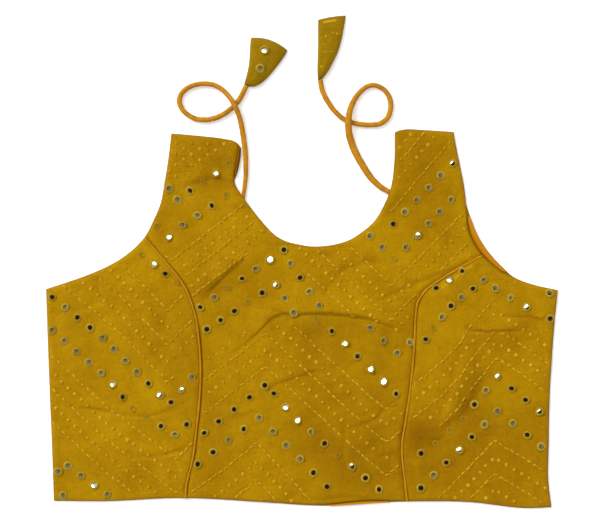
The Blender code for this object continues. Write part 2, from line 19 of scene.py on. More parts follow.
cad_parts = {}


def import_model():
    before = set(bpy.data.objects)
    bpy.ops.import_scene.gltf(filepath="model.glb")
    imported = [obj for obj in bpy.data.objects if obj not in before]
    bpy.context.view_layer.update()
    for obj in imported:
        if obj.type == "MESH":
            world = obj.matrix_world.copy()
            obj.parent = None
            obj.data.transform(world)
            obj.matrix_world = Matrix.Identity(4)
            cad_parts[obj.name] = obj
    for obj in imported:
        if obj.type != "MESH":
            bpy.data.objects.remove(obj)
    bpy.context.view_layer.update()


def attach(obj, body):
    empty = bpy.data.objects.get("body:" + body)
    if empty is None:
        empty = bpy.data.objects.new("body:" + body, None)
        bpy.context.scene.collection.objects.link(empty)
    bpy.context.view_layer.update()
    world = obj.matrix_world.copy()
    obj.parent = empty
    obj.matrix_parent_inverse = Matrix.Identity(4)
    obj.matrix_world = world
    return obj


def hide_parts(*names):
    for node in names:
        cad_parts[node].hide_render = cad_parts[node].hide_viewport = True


log = logging.getLogger("blouse")

Place = tuple[float, float]
Edge = Callable[[Any], Any]

MM = 0.001
# The cloth walls of the model's solids, and the height of the front's upper face over the floor
SOLID_WALL = 1.2
FRONT_FLOOR = 1.5
FRONT_TOP = FRONT_FLOOR + SOLID_WALL
# Real thickness of the embroidered cloth and of the plain back
FRONT_CLOTH = 0.7
BACK_CLOTH = 0.8
# Where the camera stands, and the way to the bright window that the mirrors pick up
CAMERA = (-1.8, 51.5, 1360.0)
WINDOW = (-0.36, 0.43, 0.83)
UP = Vector((0.0, 0.0, 1.0))
# How far the lights are over one
OVERLIT = 1.12


def paint(red: float, green: float, blue: float) -> tuple[float, float, float]:
    """Turn a colour as the eye names it, from 0 to 255, into the light that it reflects.

    Args:
        red: red share, 0 to 255.
        green: green share, 0 to 255.
        blue: blue share, 0 to 255.

    Returns:
        The linear colour, darker by as much as the lights are over one.
    """
    shares = []
    for share in (red, green, blue):
        level = share / 255.0
        linear = level / 12.92 if level <= 0.04045 else ((level + 0.055) / 1.055) ** 2.4
        shares.append(linear / OVERLIT)
    return shares[0], shares[1], shares[2]


class Graph:
    """Adds nodes to one tree, each from its type, its settings and its sockets."""

    def __init__(self, tree: bpy.types.NodeTree) -> None:
        """Keep the tree that the nodes go into."""
        self.tree = tree

    def add(
        self,
        kind: str,
        settings: Optional[dict[str, Any]] = None,
        sockets: Optional[dict[Any, Any]] = None,
    ) -> bpy.types.Node:
        """Add one node.

        Args:
            kind: the node's type.
            settings: its settings, set first; `stops` are a ramp's places and colours.
            sockets: its inputs by name or number, each a plain value or a link.

        Returns:
            The new node.
        """
        node = self.tree.nodes.new(kind)
        for name, value in (settings or {}).items():
            if name == "stops":
                self._stops(node, value)
            else:
                setattr(node, name, value)
        for key, value in (sockets or {}).items():
            self.feed(node.inputs[key], value)
        return node

    def value(self, kind: str, output: Any = 0, settings: Any = None, sockets: Any = None) -> "Value":
        """Add one node and return one of its outputs as a value.

        Args:
            kind: the node's type.
            output: the output's name or number.
            settings: its settings.
            sockets: its inputs.

        Returns:
            The output.
        """
        return Value(self, self.add(kind, settings, sockets).outputs[output])

    def feed(self, socket: bpy.types.NodeSocket, value: Any) -> None:
        """Link a value into a socket, or set the socket to a plain one.

        Args:
            socket: the socket.
            value: what goes in.
        """
        if isinstance(value, Value):
            self.tree.links.new(value.socket, socket)
        elif isinstance(value, bpy.types.NodeSocket):
            self.tree.links.new(value, socket)
        else:
            socket.default_value = value

    def mix(self, factor: Any, first: Any, second: Any) -> "Value":
        """Mix two colours.

        Args:
            factor: share of the second colour.
            first: a colour or a link.
            second: a colour or a link.

        Returns:
            The mixed colour.
        """
        first, second = ((*c, 1.0) if isinstance(c, tuple) else c for c in (first, second))
        return self.value("ShaderNodeMix", 2, {"data_type": "RGBA"}, {0: factor, 6: first, 7: second})

    def noise(self, where: Any, scale: float, detail: float = 2.0) -> "Value":
        """Add a noise from 0 to 1.

        Args:
            where: the coordinates.
            scale: how many features fit in a metre.
            detail: its finer layers.

        Returns:
            The noise.
        """
        sockets = {"Vector": where, "Scale": scale, "Detail": detail, "Roughness": 0.55}
        return self.value("ShaderNodeTexNoise", 0, None, sockets)

    def stretched(self, where: Any, along: tuple[float, float, float]) -> "Value":
        """Stretch coordinates by a factor on each axis."""
        return self.value("ShaderNodeMapping", 0, None, {"Vector": where, "Scale": along})

    def attribute(self, name: str) -> "Value":
        """Read a number that the mesh carries at its points."""
        return self.value("ShaderNodeAttribute", 2, {"attribute_name": name})

    def split(self, vector: Any) -> list["Value"]:
        """Take a vector's three numbers apart."""
        node = self.add("ShaderNodeSeparateXYZ", None, {0: vector})
        return [Value(self, socket) for socket in node.outputs]

    @staticmethod
    def _stops(node: bpy.types.Node, stops: Sequence[tuple[float, tuple[float, ...]]]) -> None:
        """Set a ramp's stops.

        Args:
            node: the ramp.
            stops: each stop's place and colour.
        """
        ramp = node.color_ramp.elements
        while len(ramp) < len(stops):
            ramp.new(0.5)
        for stop, (place, colour) in zip(ramp, stops):
            stop.position = place
            stop.color = (*colour, 1.0)


@dataclass(frozen=True)
class Value:
    """A socket that adds Math nodes when it is used in an expression."""

    graph: Graph
    socket: bpy.types.NodeSocket

    def math(self, operation: str, first: Any, second: Any = 0.0) -> "Value":
        """Join two values with a Math node.

        Args:
            operation: the Math node's operation.
            first: its first value.
            second: its second value.

        Returns:
            The result.
        """
        settings = {"operation": operation}
        return self.graph.value("ShaderNodeMath", 0, settings, {0: first, 1: second})

    def __add__(self, other: Any) -> "Value":
        """Sum."""
        return self.math("ADD", self, other)

    def __radd__(self, other: Any) -> "Value":
        """Sum with a plain number first."""
        return self.math("ADD", other, self)

    def __sub__(self, other: Any) -> "Value":
        """Difference."""
        return self.math("SUBTRACT", self, other)

    def __rsub__(self, other: Any) -> "Value":
        """Difference with a plain number first."""
        return self.math("SUBTRACT", other, self)

    def __mul__(self, other: Any) -> "Value":
        """Product."""
        return self.math("MULTIPLY", self, other)

    def __rmul__(self, other: Any) -> "Value":
        """Product with a plain number first."""
        return self.math("MULTIPLY", other, self)

    def __truediv__(self, other: Any) -> "Value":
        """Quotient."""
        return self.math("DIVIDE", self, other)

    def sine(self) -> "Value":
        """Sine."""
        return self.math("SINE", self)

    def held(self) -> "Value":
        """Hold between 0 and 1."""
        return self.math("MINIMUM", self.math("MAXIMUM", self, 0.0), 1.0)


Colour = tuple[float, float, float]


class Coat(Graph):
    """The nodes of one material round its shader."""

    def __init__(self, tree: bpy.types.NodeTree) -> None:
        """Find the shader and add the object's own coordinates."""
        super().__init__(tree)
        self.shader = tree.nodes["Principled BSDF"]
        self.where = self.value("ShaderNodeTexCoord", "Object")

    def dress(self, looks: dict[str, Any]) -> None:
        """Feed the shader's sockets by their names."""
        for name, value in looks.items():
            self.feed(self.shader.inputs[name], value)

    def gloss(self, colour: Colour, sheen: float, shine: float) -> None:
        """Give a dyed cloth its sheen and shine, both tinted by the dye.

        Args:
            colour: the dye.
            sheen: strength of the sheen.
            shine: strength of the reflections.
        """
        high = max(colour)
        tint = (1.0, colour[1] / high + 0.12, colour[2] / high + 0.03, 1.0)
        self.dress({"Sheen Weight": sheen, "Sheen Roughness": 0.45, "Sheen Tint": tint})
        self.dress({"Specular IOR Level": shine, "Specular Tint": tint})

    def bump(self, height: Value, strength: float, distance: float, under: Optional[Value] = None) -> Value:
        """Turn a height into a normal.

        Args:
            height: the height, about 0 to 1.
            strength: how much of it shows.
            distance: its depth in metres.
            under: a coarser normal that it adds to.

        Returns:
            The normal.
        """
        sockets = {"Strength": strength, "Distance": distance, "Height": height}
        if under is not None:
            sockets["Normal"] = under
        return self.value("ShaderNodeBump", 0, None, sockets)


@dataclass(frozen=True)
class Finish:
    """What all the finishes share: a name, a colour and how rough the surface is."""

    name: str
    colour: Colour
    roughness: float

    def material(self) -> bpy.types.Material:
        """Build the finish.

        Returns:
            The material.
        """
        material = bpy.data.materials.new(self.name)
        material.use_nodes = True
        coat = Coat(material.node_tree)
        coat.dress({"Roughness": self.roughness})
        self.lay(coat)
        return material

    def lay(self, coat: Coat) -> None:
        """Lay the colour; finer finishes lay more."""
        coat.dress({"Base Color": (*self.colour, 1.0)})


@dataclass(frozen=True)
class WovenCloth(Finish):
    """Silky handloom cloth, mottled, with slubs in its weft, and with painted shade in its creases, in shade
    patches and along its open edges.
    """

    # shaded is the colour of the painted shade
    shaded: Colour = (0.2, 0.1, 0.01)
    warm: Colour = (0.3, 0.1, 0.01)
    pitch: float = 0.42
    slub: float = 0.5
    crinkle: float = 0.55
    sheen: float = 0.25

    def lay(self, coat: Coat) -> None:
        """Mottle the cloth, paint shade into its colour and weave it.

        Args:
            coat: the material's nodes.
        """
        where = coat.where
        x, y, _ = coat.split(where)
        turns = 2.0 * math.pi / (self.pitch * MM)
        broad = coat.noise(where, 17.0, 3.0)
        middle = coat.noise(where, 85.0, 3.0)
        weft = coat.noise(coat.stretched(where, (60.0, 1500.0, 60.0)), 1.0)
        warp = coat.noise(coat.stretched(where, (1300.0, 45.0, 60.0)), 1.0, 1.0)
        puckers = coat.noise(where, 150.0)
        crinkles = coat.noise(where, 380.0, 3.0)
        weave = (x * turns).sine() * (y * turns).sine()
        slubs = (weft - 0.5) * self.slub + (warp - 0.5) * (0.5 * self.slub)
        mottle = (broad - 0.5) * 1.7 + (middle - 0.5) * 0.9 + (crinkles - 0.5) * 1.1
        base = coat.mix((mottle + slubs * 0.8 + 0.42).held(), self.colour, self.warm)
        # Painted shade from the creases, the shade patches and the open edges (the rim attribute); the weave
        # and slubs in the same mix are the cloth's own
        deep = coat.attribute("shade") + coat.attribute("rim") * 0.55
        shade = (deep * 0.85 + weave * 0.05 + slubs * 0.3).held()
        coarse = coat.bump(puckers + crinkles * self.crinkle, 0.7, 0.001)
        looks = {
            "Base Color": coat.mix(shade, base, self.shaded),
            "Roughness": self.roughness + (middle - 0.5) * 0.2 + slubs * 0.15,
            "Normal": coat.bump(weave * 0.5 + slubs * 1.6, 0.35, 0.0002, coarse),
        }
        coat.dress(looks)
        coat.gloss(self.colour, self.sheen, 0.3)


@dataclass(frozen=True)
class RolledCloth(Finish):
    """Cloth cut on the bias and rolled or folded round a cord, which carries its own wrap."""

    # edge is the colour of the painted shade on the cord's sides
    edge: Colour = (0.4, 0.15, 0.02)
    pitch: float = 0.45
    pucker: float = 3.5

    def lay(self, coat: Coat) -> None:
        """Pucker the cloth along its wrap and paint shade on its sides.

        Args:
            coat: the material's nodes.
        """
        wrap = coat.value("ShaderNodeUVMap", 0, {"uv_map": "wrap"})
        along, around, _ = coat.split(wrap)
        turns = 2.0 * math.pi / (self.pitch * MM)
        bias = ((along + around) * turns).sine() * ((along - around) * turns).sine()
        puckers = coat.noise(coat.stretched(wrap, (1000.0 / self.pucker, 90.0, 1.0)), 1.0)
        patches = coat.noise(coat.where, 120.0)
        # Painted shade on the cord's sides (the rim attribute); the puckers and patches in the same tone are
        # the cloth's own
        sides = coat.attribute("rim") * 0.55
        tone = ((puckers - 0.5) * 1.2 + (patches - 0.5) * 0.8 + sides + 0.12).held()
        looks = {
            "Base Color": coat.mix(tone, self.colour, self.edge),
            "Roughness": self.roughness + (patches - 0.5) * 0.2,
            "Normal": coat.bump(bias * 0.35 + (puckers - 0.5) * 3.0, 0.45, 0.0002),
        }
        coat.dress(looks)
        coat.gloss(self.colour, 0.2, 0.4)


@dataclass(frozen=True)
class FacingCloth(Finish):
    """A narrow strip of turned cloth, darkened along it by painted shade of a second colour."""

    # line is the colour of the painted shade on the strip
    line: Colour = (0.3, 0.1, 0.01)

    def lay(self, coat: Coat) -> None:
        """Colour the strip with its painted shade and give it a fine grain.

        Args:
            coat: the material's nodes.
        """
        patches = coat.noise(coat.where, 160.0, 3.0)
        grain = coat.noise(coat.stretched(coat.where, (2200.0, 500.0, 500.0)), 1.0)
        # The shade attribute is painted shade; the patches are the cloth's own mottle
        tone = (coat.attribute("shade") + (patches - 0.5) * 0.5).held()
        looks = {
            "Base Color": coat.mix(tone, self.colour, self.line),
            "Roughness": self.roughness + (patches - 0.5) * 0.15,
            "Normal": coat.bump(grain + patches, 0.3, 0.0002),
        }
        coat.dress(looks)
        coat.gloss(self.colour, 0.1, 0.3)


@dataclass(frozen=True)
class SilkThread(Finish):
    """Embroidery thread, each stitch of a slightly different tone."""

    shaded: Colour = (0.3, 0.2, 0.05)

    def lay(self, coat: Coat) -> None:
        """Vary the tone from stitch to stitch and along the strands.

        Args:
            coat: the material's nodes.
        """
        strands = coat.noise(coat.where, 2600.0)
        tone = (coat.attribute("tint") * 0.8 + (strands - 0.5) * 0.7).held()
        looks = {
            "Base Color": coat.mix(tone, self.colour, self.shaded),
            "Roughness": self.roughness + (strands - 0.5) * 0.2,
            "Normal": coat.bump(strands, 0.25, 0.0001),
        }
        coat.dress(looks)
        coat.gloss(self.colour, 0.1, 0.4)


@dataclass(frozen=True)
class MirrorGlass(Finish):
    """Small silvered glass, faintly smudged."""

    smudged: Colour = (0.6, 0.58, 0.5)

    def lay(self, coat: Coat) -> None:
        """Smudge the silver.

        Args:
            coat: the material's nodes.
        """
        smudge = coat.noise(coat.where, 420.0, 3.0)
        cloudy = ((smudge - 0.5) * 1.4 + coat.attribute("tint") * 0.4).held()
        looks = {
            "Base Color": coat.mix(cloudy, self.colour, self.smudged),
            "Roughness": self.roughness + cloudy * 0.06,
            "Metallic": 1.0,
            "Normal": coat.bump(smudge, 0.06, 0.0001),
        }
        coat.dress(looks)


@dataclass(frozen=True)
class StudioFloor(Finish):
    """The pale table under the blouse, lit a little from below so that its shadows stay soft."""

    glow: float = 0.36

    def lay(self, coat: Coat) -> None:
        """Cloud the floor a little and let it glow.

        Args:
            coat: the material's nodes.
        """
        paler = tuple(min(1.0, share + 0.015) for share in self.colour)
        looks = {
            "Base Color": coat.mix(coat.noise(coat.where, 3.0), self.colour, paler),
            "Emission Color": (1.0, 1.0, 1.0, 1.0),
            "Emission Strength": self.glow,
        }
        coat.dress(looks)


class Palette:
    """The blouse's finishes, each made once."""

    def __init__(self) -> None:
        """Mix the colours and build the materials."""
        mustard = paint(197, 150, 6)
        olive = paint(168, 120, 4)
        # deep is the colour of the painted shade on the front and the back
        deep = paint(126, 74, 3)
        orange = paint(215, 147, 33)
        self.cloth = WovenCloth("mirror work cloth", mustard, 0.56, deep, olive).material()
        plain = WovenCloth("plain back cloth", paint(176, 130, 8), 0.62, deep, paint(158, 112, 6))
        self.back = plain.material()
        # The tassel's second colour, and the piping's and the tie's darker edge colours, are painted shade
        tassel = WovenCloth("tassel cloth", paint(166, 129, 9), 0.58, paint(74, 54, 6), paint(142, 106, 7))
        self.tassel = tassel.material()
        piping = RolledCloth("piping cloth", paint(206, 148, 26), 0.5, paint(168, 108, 14), 0.4, 3.0)
        self.piping = piping.material()
        self.tie = RolledCloth("rolled tie cloth", orange, 0.48, paint(150, 92, 20), 0.45, 4.0).material()
        # The facings' second colours are painted shade; on the neck facing it is a dark brown
        facing = FacingCloth("orange facing", paint(206, 138, 16), 0.5, paint(150, 82, 6))
        self.facing = facing.material()
        dark = FacingCloth("shaded neck facing", paint(176, 108, 14), 0.55, paint(86, 44, 5))
        self.dark_facing = dark.material()
        ring = SilkThread("pale ring thread", paint(208, 184, 62), 0.42, paint(168, 132, 26))
        self.ring = ring.material()
        stitch = SilkThread("gold stitch thread", paint(226, 182, 42), 0.45, paint(196, 148, 16))
        self.stitch = stitch.material()
        self.mirror = MirrorGlass("silvered mirror", (0.9, 0.89, 0.86), 0.03).material()
        self.floor = StudioFloor("pale studio floor", (0.9, 0.9, 0.9), 0.7).material()


def smooth(rows: Sequence[Sequence[float]], at: Any) -> Any:
    """Read a smooth curve through a table's rows.

    Args:
        rows: key and value of each row.
        at: where to read it; past the ends it keeps their values.

    Returns:
        The value there.
    """
    key, value = np.array(rows, float).T
    at = np.clip(at, key[0], key[-1])
    slope = np.gradient(value, key)
    row = np.clip(np.searchsorted(key, at) - 1, 0, len(key) - 2)
    span = key[row + 1] - key[row]
    t = (at - key[row]) / span
    start = (1 + 2 * t) * (1 - t) ** 2 * value[row] + t * (1 - t) ** 2 * span * slope[row]
    end = t * t * (3 - 2 * t) * value[row + 1] - t * t * (1 - t) * span * slope[row + 1]
    return start + end


def bell(distance: Any, reach: float) -> Any:
    """Give 1 at no distance, falling softly to nothing past the reach."""
    return np.exp(-((distance / reach) ** 2))


def taper(along: np.ndarray, steep: float) -> np.ndarray:
    """Fade something that runs along a line out towards both its ends."""
    return np.clip(steep * along * (1.0 - along), 0.0, 1.0)


def run_of(points: np.ndarray) -> np.ndarray:
    """Measure how far along a polyline each of its points is."""
    return np.concatenate([[0.0], np.cumsum(np.hypot(*np.diff(points, axis=0).T))])


def walk(points: np.ndarray, at: np.ndarray) -> np.ndarray:
    """Find the points at given distances along a polyline."""
    run = run_of(points)
    return np.stack([np.interp(at, run, column) for column in points.T], axis=1)


def spaced(line: Any, count: int) -> np.ndarray:
    """Space points evenly along a bent line, its ends included."""
    points = np.array(line, float)
    return walk(points, np.linspace(0.0, run_of(points)[-1], count))


def corner(edge: Edge, guide: Edge) -> float:
    """Find where an edge that runs up meets a guide that runs across.

    Args:
        edge: gives the edge's x at a height.
        guide: gives the guide's y at an x.

    Returns:
        The height.
    """
    y = guide(0.0)
    for _ in range(30):
        y = 0.5 * (y + guide(edge(y)))
    return y


def up(edge: Edge, low: float, high: float, count: int, grading: float = 1.0) -> np.ndarray:
    """Space points along an edge between two heights.

    Args:
        edge: gives the edge's x at a height.
        low: lower height.
        high: upper height.
        count: number of steps.
        grading: above 1 it packs them near the low end, below -1 near the high one.

    Returns:
        The points.
    """
    y = low + (high - low) * np.linspace(0.0, 1.0, 1200) ** 2
    run = run_of(np.stack([edge(y), y], axis=1))
    t = np.linspace(0.0, 1.0, count + 1)
    t = t**grading if grading > 0 else 1.0 - (1.0 - t) ** -grading
    at = np.interp(t * run[-1], run, y)
    return np.stack([edge(at), at], axis=1)


def across(guide: Edge, start: Any, end: Any, count: int) -> np.ndarray:
    """Space points along a guide between two points that lie on it.

    Args:
        guide: gives the guide's y at an x.
        start: the first point.
        end: the last point.
        count: number of steps.

    Returns:
        The points.
    """
    x = np.linspace(start[0], end[0], count + 1)
    points = np.stack([x, guide(x)], axis=1)
    points[0] = start
    points[-1] = end
    return points


def straight(start: Any, end: Any, count: int) -> np.ndarray:
    """Space points on a straight line."""
    return np.linspace(start, end, count + 1)


def beside(points: np.ndarray, distance: float) -> np.ndarray:
    """Move a polyline sideways.

    Args:
        points: its points.
        distance: how far to its right, or to its left below nothing.

    Returns:
        The moved points.
    """
    step = np.diff(points, axis=0)
    step = step / np.hypot(*step.T)[:, None]
    before = np.concatenate([step[:1], step])
    after = np.concatenate([step, step[-1:]])
    normal = np.stack([before[:, 1] + after[:, 1], -before[:, 0] - after[:, 0]], axis=1)
    return points + 2.0 * distance * normal / (normal**2).sum(axis=1)[:, None]


def share(points: np.ndarray) -> np.ndarray:
    """Tell how far along a polyline each of its points is, from 0 to 1."""
    run = run_of(points)
    return run / run[-1]


def patch(left: np.ndarray, right: np.ndarray, lower: np.ndarray, upper: np.ndarray) -> np.ndarray:
    """Fill a grid of points between four edges that meet at their corners.

    Args:
        left: edge that runs up on the left.
        right: edge that runs up on the right.
        lower: edge that runs across below.
        upper: edge that runs across above.

    Returns:
        The grid, row by row.
    """
    v = (0.5 * (share(left) + share(right)))[:, None, None]
    u = (0.5 * (share(lower) + share(upper)))[None, :, None]
    rows = (1 - v) * lower[None] + v * upper[None]
    columns = (1 - u) * left[:, None] + u * right[:, None]
    corners = (1 - v) * ((1 - u) * lower[0] + u * lower[-1]) + v * ((1 - u) * upper[0] + u * upper[-1])
    return rows + columns - corners


@dataclass
class Nearest:
    """Where points stand to a polyline."""

    distance: np.ndarray
    side: np.ndarray
    along: np.ndarray


def nearest(places: np.ndarray, line: np.ndarray) -> Nearest:
    """Measure points against a polyline.

    Args:
        places: the points, one a row.
        line: the polyline's points.

    Returns:
        Each point's distance, signed distance to the left, and share of the line's length.
    """
    best = np.full(len(places), 1e9)
    side = np.zeros(len(places))
    along = np.zeros(len(places))
    lengths = np.hypot(*np.diff(line, axis=0).T)
    total = lengths.sum()
    run = 0.0
    for start, end, length in zip(line, line[1:], lengths):
        if length < 1e-6:
            continue
        step = (end - start) / length
        offset = places - start
        t = np.clip(offset @ step, 0.0, length)
        away = np.hypot(*(offset - t[:, None] * step).T)
        closer = away < best
        best = np.where(closer, away, best)
        left = np.sign(step[0] * offset[:, 1] - step[1] * offset[:, 0])
        side = np.where(closer, left * away, side)
        along = np.where(closer, (run + t) / total, along)
        run += length
    return Nearest(best, side, along)


def inside(places: np.ndarray, outline: np.ndarray) -> np.ndarray:
    """Tell which points lie inside a closed outline.

    Args:
        places: the points, one a row.
        outline: the outline's points.

    Returns:
        A yes or no for each.
    """
    result = np.zeros(len(places), bool)
    x, y = places.T
    for (x0, y0), (x1, y1) in zip(outline, np.roll(outline, -1, axis=0)):
        crosses = (y0 > y) != (y1 > y)
        at = x0 + (y - y0) * (x1 - x0) / (y1 - y0 if y1 != y0 else 1e-9)
        result ^= crosses & (x < at)
    return result


@dataclass(frozen=True)
class BlouseCut:
    """The blouse's pattern as it lies: its outlines, seams and guides.

    Columns of the edges that run up are y and x, of those that run across x and y, and of the neck
    edges the rise above the neck's bottom and x.
    """

    underarm_left: float = 28.3
    underarm_right: float = 27.5
    left_seam_top: float = 77.5
    right_seam_top: float = 60.5
    neck_bottom: float = 69.2
    neck_centre: float = 12.3
    back_neck_bottom: float = 62.0
    back_neck_step: float = 0.15
    left_side: Any = ((-182.0, -237.6), (-129.0, -239.4), (-76.0, -241.5), (-36.0, -243.1), (28.3, -245.3))
    right_side: Any = (
        (-182.0, 239.3), (-154.0, 236.2), (-120.0, 236.6), (-64.0, 238.1), (-15.0, 241.4), (27.5, 245.3),
    )
    left_armhole: Any = (
        (28.3, -245.3), (41.2, -207.2), (50.5, -185.6), (66.8, -161.4), (78.8, -150.5), (93.7, -142.5),
        (110.0, -135.7), (130.0, -131.8), (155.0, -127.8), (180.0, -124.8),
    )
    right_armhole: Any = (
        (27.5, 245.3), (32.3, 223.1), (38.5, 206.0), (48.6, 193.5), (63.0, 180.0), (79.3, 169.2),
        (95.6, 162.5), (115.8, 155.8), (135.0, 151.6), (160.0, 147.8), (182.0, 145.2),
    )
    armhole_gap: Any = (
        (27.5, 0.0), (36.0, 0.0), (40.5, 1.6), (45.0, 5.6), (52.0, 7.3), (79.0, 7.2), (90.0, 5.4),
        (99.5, 2.8), (110.0, 0.0), (182.0, 0.0),
    )
    left_princess: Any = (
        (-176.0, -111.5), (-162.0, -111.0), (-135.0, -104.8), (-97.0, -100.0), (-56.0, -97.0),
        (-20.0, -98.7), (8.0, -103.4), (36.0, -115.6), (52.0, -128.6), (77.5, -150.6), (90.0, -162.0),
    )
    right_princess: Any = (
        (-180.0, 101.5), (-156.0, 98.7), (-121.0, 96.0), (-95.4, 100.0), (-50.0, 105.8), (-15.0, 108.4),
        (4.0, 109.2), (17.0, 111.6), (29.0, 120.8), (39.5, 136.0), (50.0, 153.6), (60.5, 173.0),
        (70.0, 191.0),
    )
    neck_left: Any = (
        (0.0, 12.3), (1.8, -2.4), (4.7, -14.2), (10.1, -24.5), (20.6, -35.4), (35.1, -47.3), (48.1, -56.8),
        (61.0, -64.3), (66.0, -64.8), (78.3, -63.3), (97.0, -61.2), (112.0, -61.0),
    )
    neck_right: Any = (
        (0.0, 12.3), (1.1, 26.9), (4.7, 41.7), (13.0, 56.4), (24.5, 69.6), (39.3, 78.5), (58.4, 85.7),
        (82.1, 88.7), (114.0, 89.1),
    )
    back_left: Any = (
        (0.0, 0.0), (2.0, -9.0), (5.0, -19.0), (11.0, -29.5), (22.0, -40.0), (37.0, -51.5), (50.0, -61.0),
        (61.0, -66.4), (69.0, -64.9), (82.6, -60.6), (92.0, -58.9), (120.0, -58.8),
    )
    back_right: Any = (
        (0.0, 0.0), (1.5, 27.0), (5.0, 43.0), (12.0, 60.0), (24.0, 74.5), (40.0, 84.5), (52.0, 89.0),
        (72.0, 93.0), (90.0, 94.5), (121.0, 95.0),
    )
    hem: Any = (
        (-240.0, -174.6), (-190.0, -175.0), (-116.0, -172.0), (-41.0, -175.6), (18.0, -179.4),
        (94.0, -175.6), (160.0, -175.8), (219.0, -181.6), (240.0, -180.6),
    )
    neck_guide: Any = ((-152.0, 78.0), (-60.0, 70.4), (12.3, 69.2), (90.0, 66.0), (176.0, 60.0))
    shoulder_left: Any = (
        (-126.0, 177.7), (-98.0, 175.2), (-72.5, 172.0), (-65.0, 170.2), (-61.0, 167.4), (-58.5, 164.4),
    )
    shoulder_right: Any = ((88.0, 178.0), (92.0, 180.0), (99.0, 181.5), (115.0, 181.0), (146.0, 179.0))
    bust_crease: Any = (
        (-160.0, -62.0), (-110.0, -50.0), (-59.8, -29.2), (-41.5, -13.6), (-28.8, -1.0), (0.8, 3.2),
        (22.0, 3.8), (43.0, 1.8), (64.0, -1.4), (86.5, -9.4), (112.0, -20.0),
    )
    hem_turn_centre: float = 55.0
    hem_turn_spread: float = 32.0
    hem_turn_rise: float = 2.8

    def left_edge(self, y: Any) -> Any:
        """X of the left edge: the side, then the armhole."""
        return np.maximum(smooth(self.left_side, y), smooth(self.left_armhole, y))

    def right_edge(self, y: Any) -> Any:
        """X of the back's right edge."""
        return np.minimum(smooth(self.right_side, y), smooth(self.right_armhole, y))

    def right_front_edge(self, y: Any) -> Any:
        """X of the front's right edge, whose armhole draws back from the back's."""
        return self.right_edge(y) - smooth(self.armhole_gap, y)

    def left_seam(self, y: Any) -> Any:
        """X of the left princess seam."""
        return smooth(self.left_princess, y)

    def right_seam(self, y: Any) -> Any:
        """X of the right princess seam."""
        return smooth(self.right_princess, y)

    @staticmethod
    def neck(rows: Any, bottom: float, y: Any) -> Any:
        """X of a neck edge; the square root keeps the bottom of the U round."""
        roots = [(rise**0.5, x) for rise, x in rows]
        return smooth(roots, np.sqrt(np.maximum(y - bottom, 0.0)))

    def front_neck_left(self, y: Any) -> Any:
        """X of the front's left neck edge."""
        return self.neck(self.neck_left, self.neck_bottom, y)

    def front_neck_right(self, y: Any) -> Any:
        """X of the front's right neck edge."""
        return self.neck(self.neck_right, self.neck_bottom, y)

    def back_neck_left(self, y: Any) -> Any:
        """X of the back's left neck edge."""
        return self.neck(self.back_left, self.back_neck_bottom, y) - self.back_neck_step

    def back_neck_right(self, y: Any) -> Any:
        """X of the back's right neck edge."""
        return self.neck(self.back_right, self.back_neck_bottom, y) + self.back_neck_step

    def hem_back(self, x: Any) -> Any:
        """Y of the back's hem."""
        return smooth(self.hem, x)

    def hem_front(self, x: Any) -> Any:
        """Y of the front's hem, which is turned up a little so that its facing shows."""
        return smooth(self.hem, x) + self.hem_turn_rise * bell(x - self.hem_turn_centre, self.hem_turn_spread)

    def crease(self, x: Any) -> Any:
        """Y of the bust crease."""
        return smooth(self.bust_crease, x)

    def neck_row(self, x: Any) -> Any:
        """Y of the guide under the straps."""
        return smooth(self.neck_guide, x)

    def left_shoulder(self, x: Any) -> Any:
        """Y of the left shoulder edge."""
        return smooth(self.shoulder_left, x)

    def right_shoulder(self, x: Any) -> Any:
        """Y of the right shoulder edge."""
        return smooth(self.shoulder_right, x)

    def seam_points(self, seam: Edge, top: float, below: int, above: int) -> np.ndarray:
        """Points of a princess seam from the hem to the armhole, closer at the bust crease.

        Args:
            seam: gives the seam's x at a height.
            top: height of its upper end.
            below: steps below the crease.
            above: steps above it.

        Returns:
            The points.
        """
        bottom = corner(seam, self.hem_front)
        middle = corner(seam, self.crease)
        low = up(seam, bottom, middle, below, -1.25)
        return np.concatenate([low, up(seam, middle, top, above, 1.1)[1:]])


@dataclass(frozen=True)
class Fold:
    """A straight fold with its ridge on the left of the way from its start to its end."""

    start: Place
    end: Place
    height: float
    crest: float
    width: float


@dataclass(frozen=True)
class Swell:
    """A broad low mound where the cut leaves the cloth full."""

    x: float
    y: float
    reach_x: float
    reach_y: float
    height: float


@dataclass(frozen=True)
class Crease:
    """A soft crease: a groove, with a low ridge on its left."""

    line: tuple[Place, ...]
    depth: float
    width: float
    lift: float
    reach: float
    # how much painted shade the crease puts into the cloth's colour
    dark: float


@dataclass(frozen=True)
class Shadow:
    """A patch of painted shade that darkens the cloth's colour."""

    x: float
    y: float
    reach_x: float
    reach_y: float
    dark: float


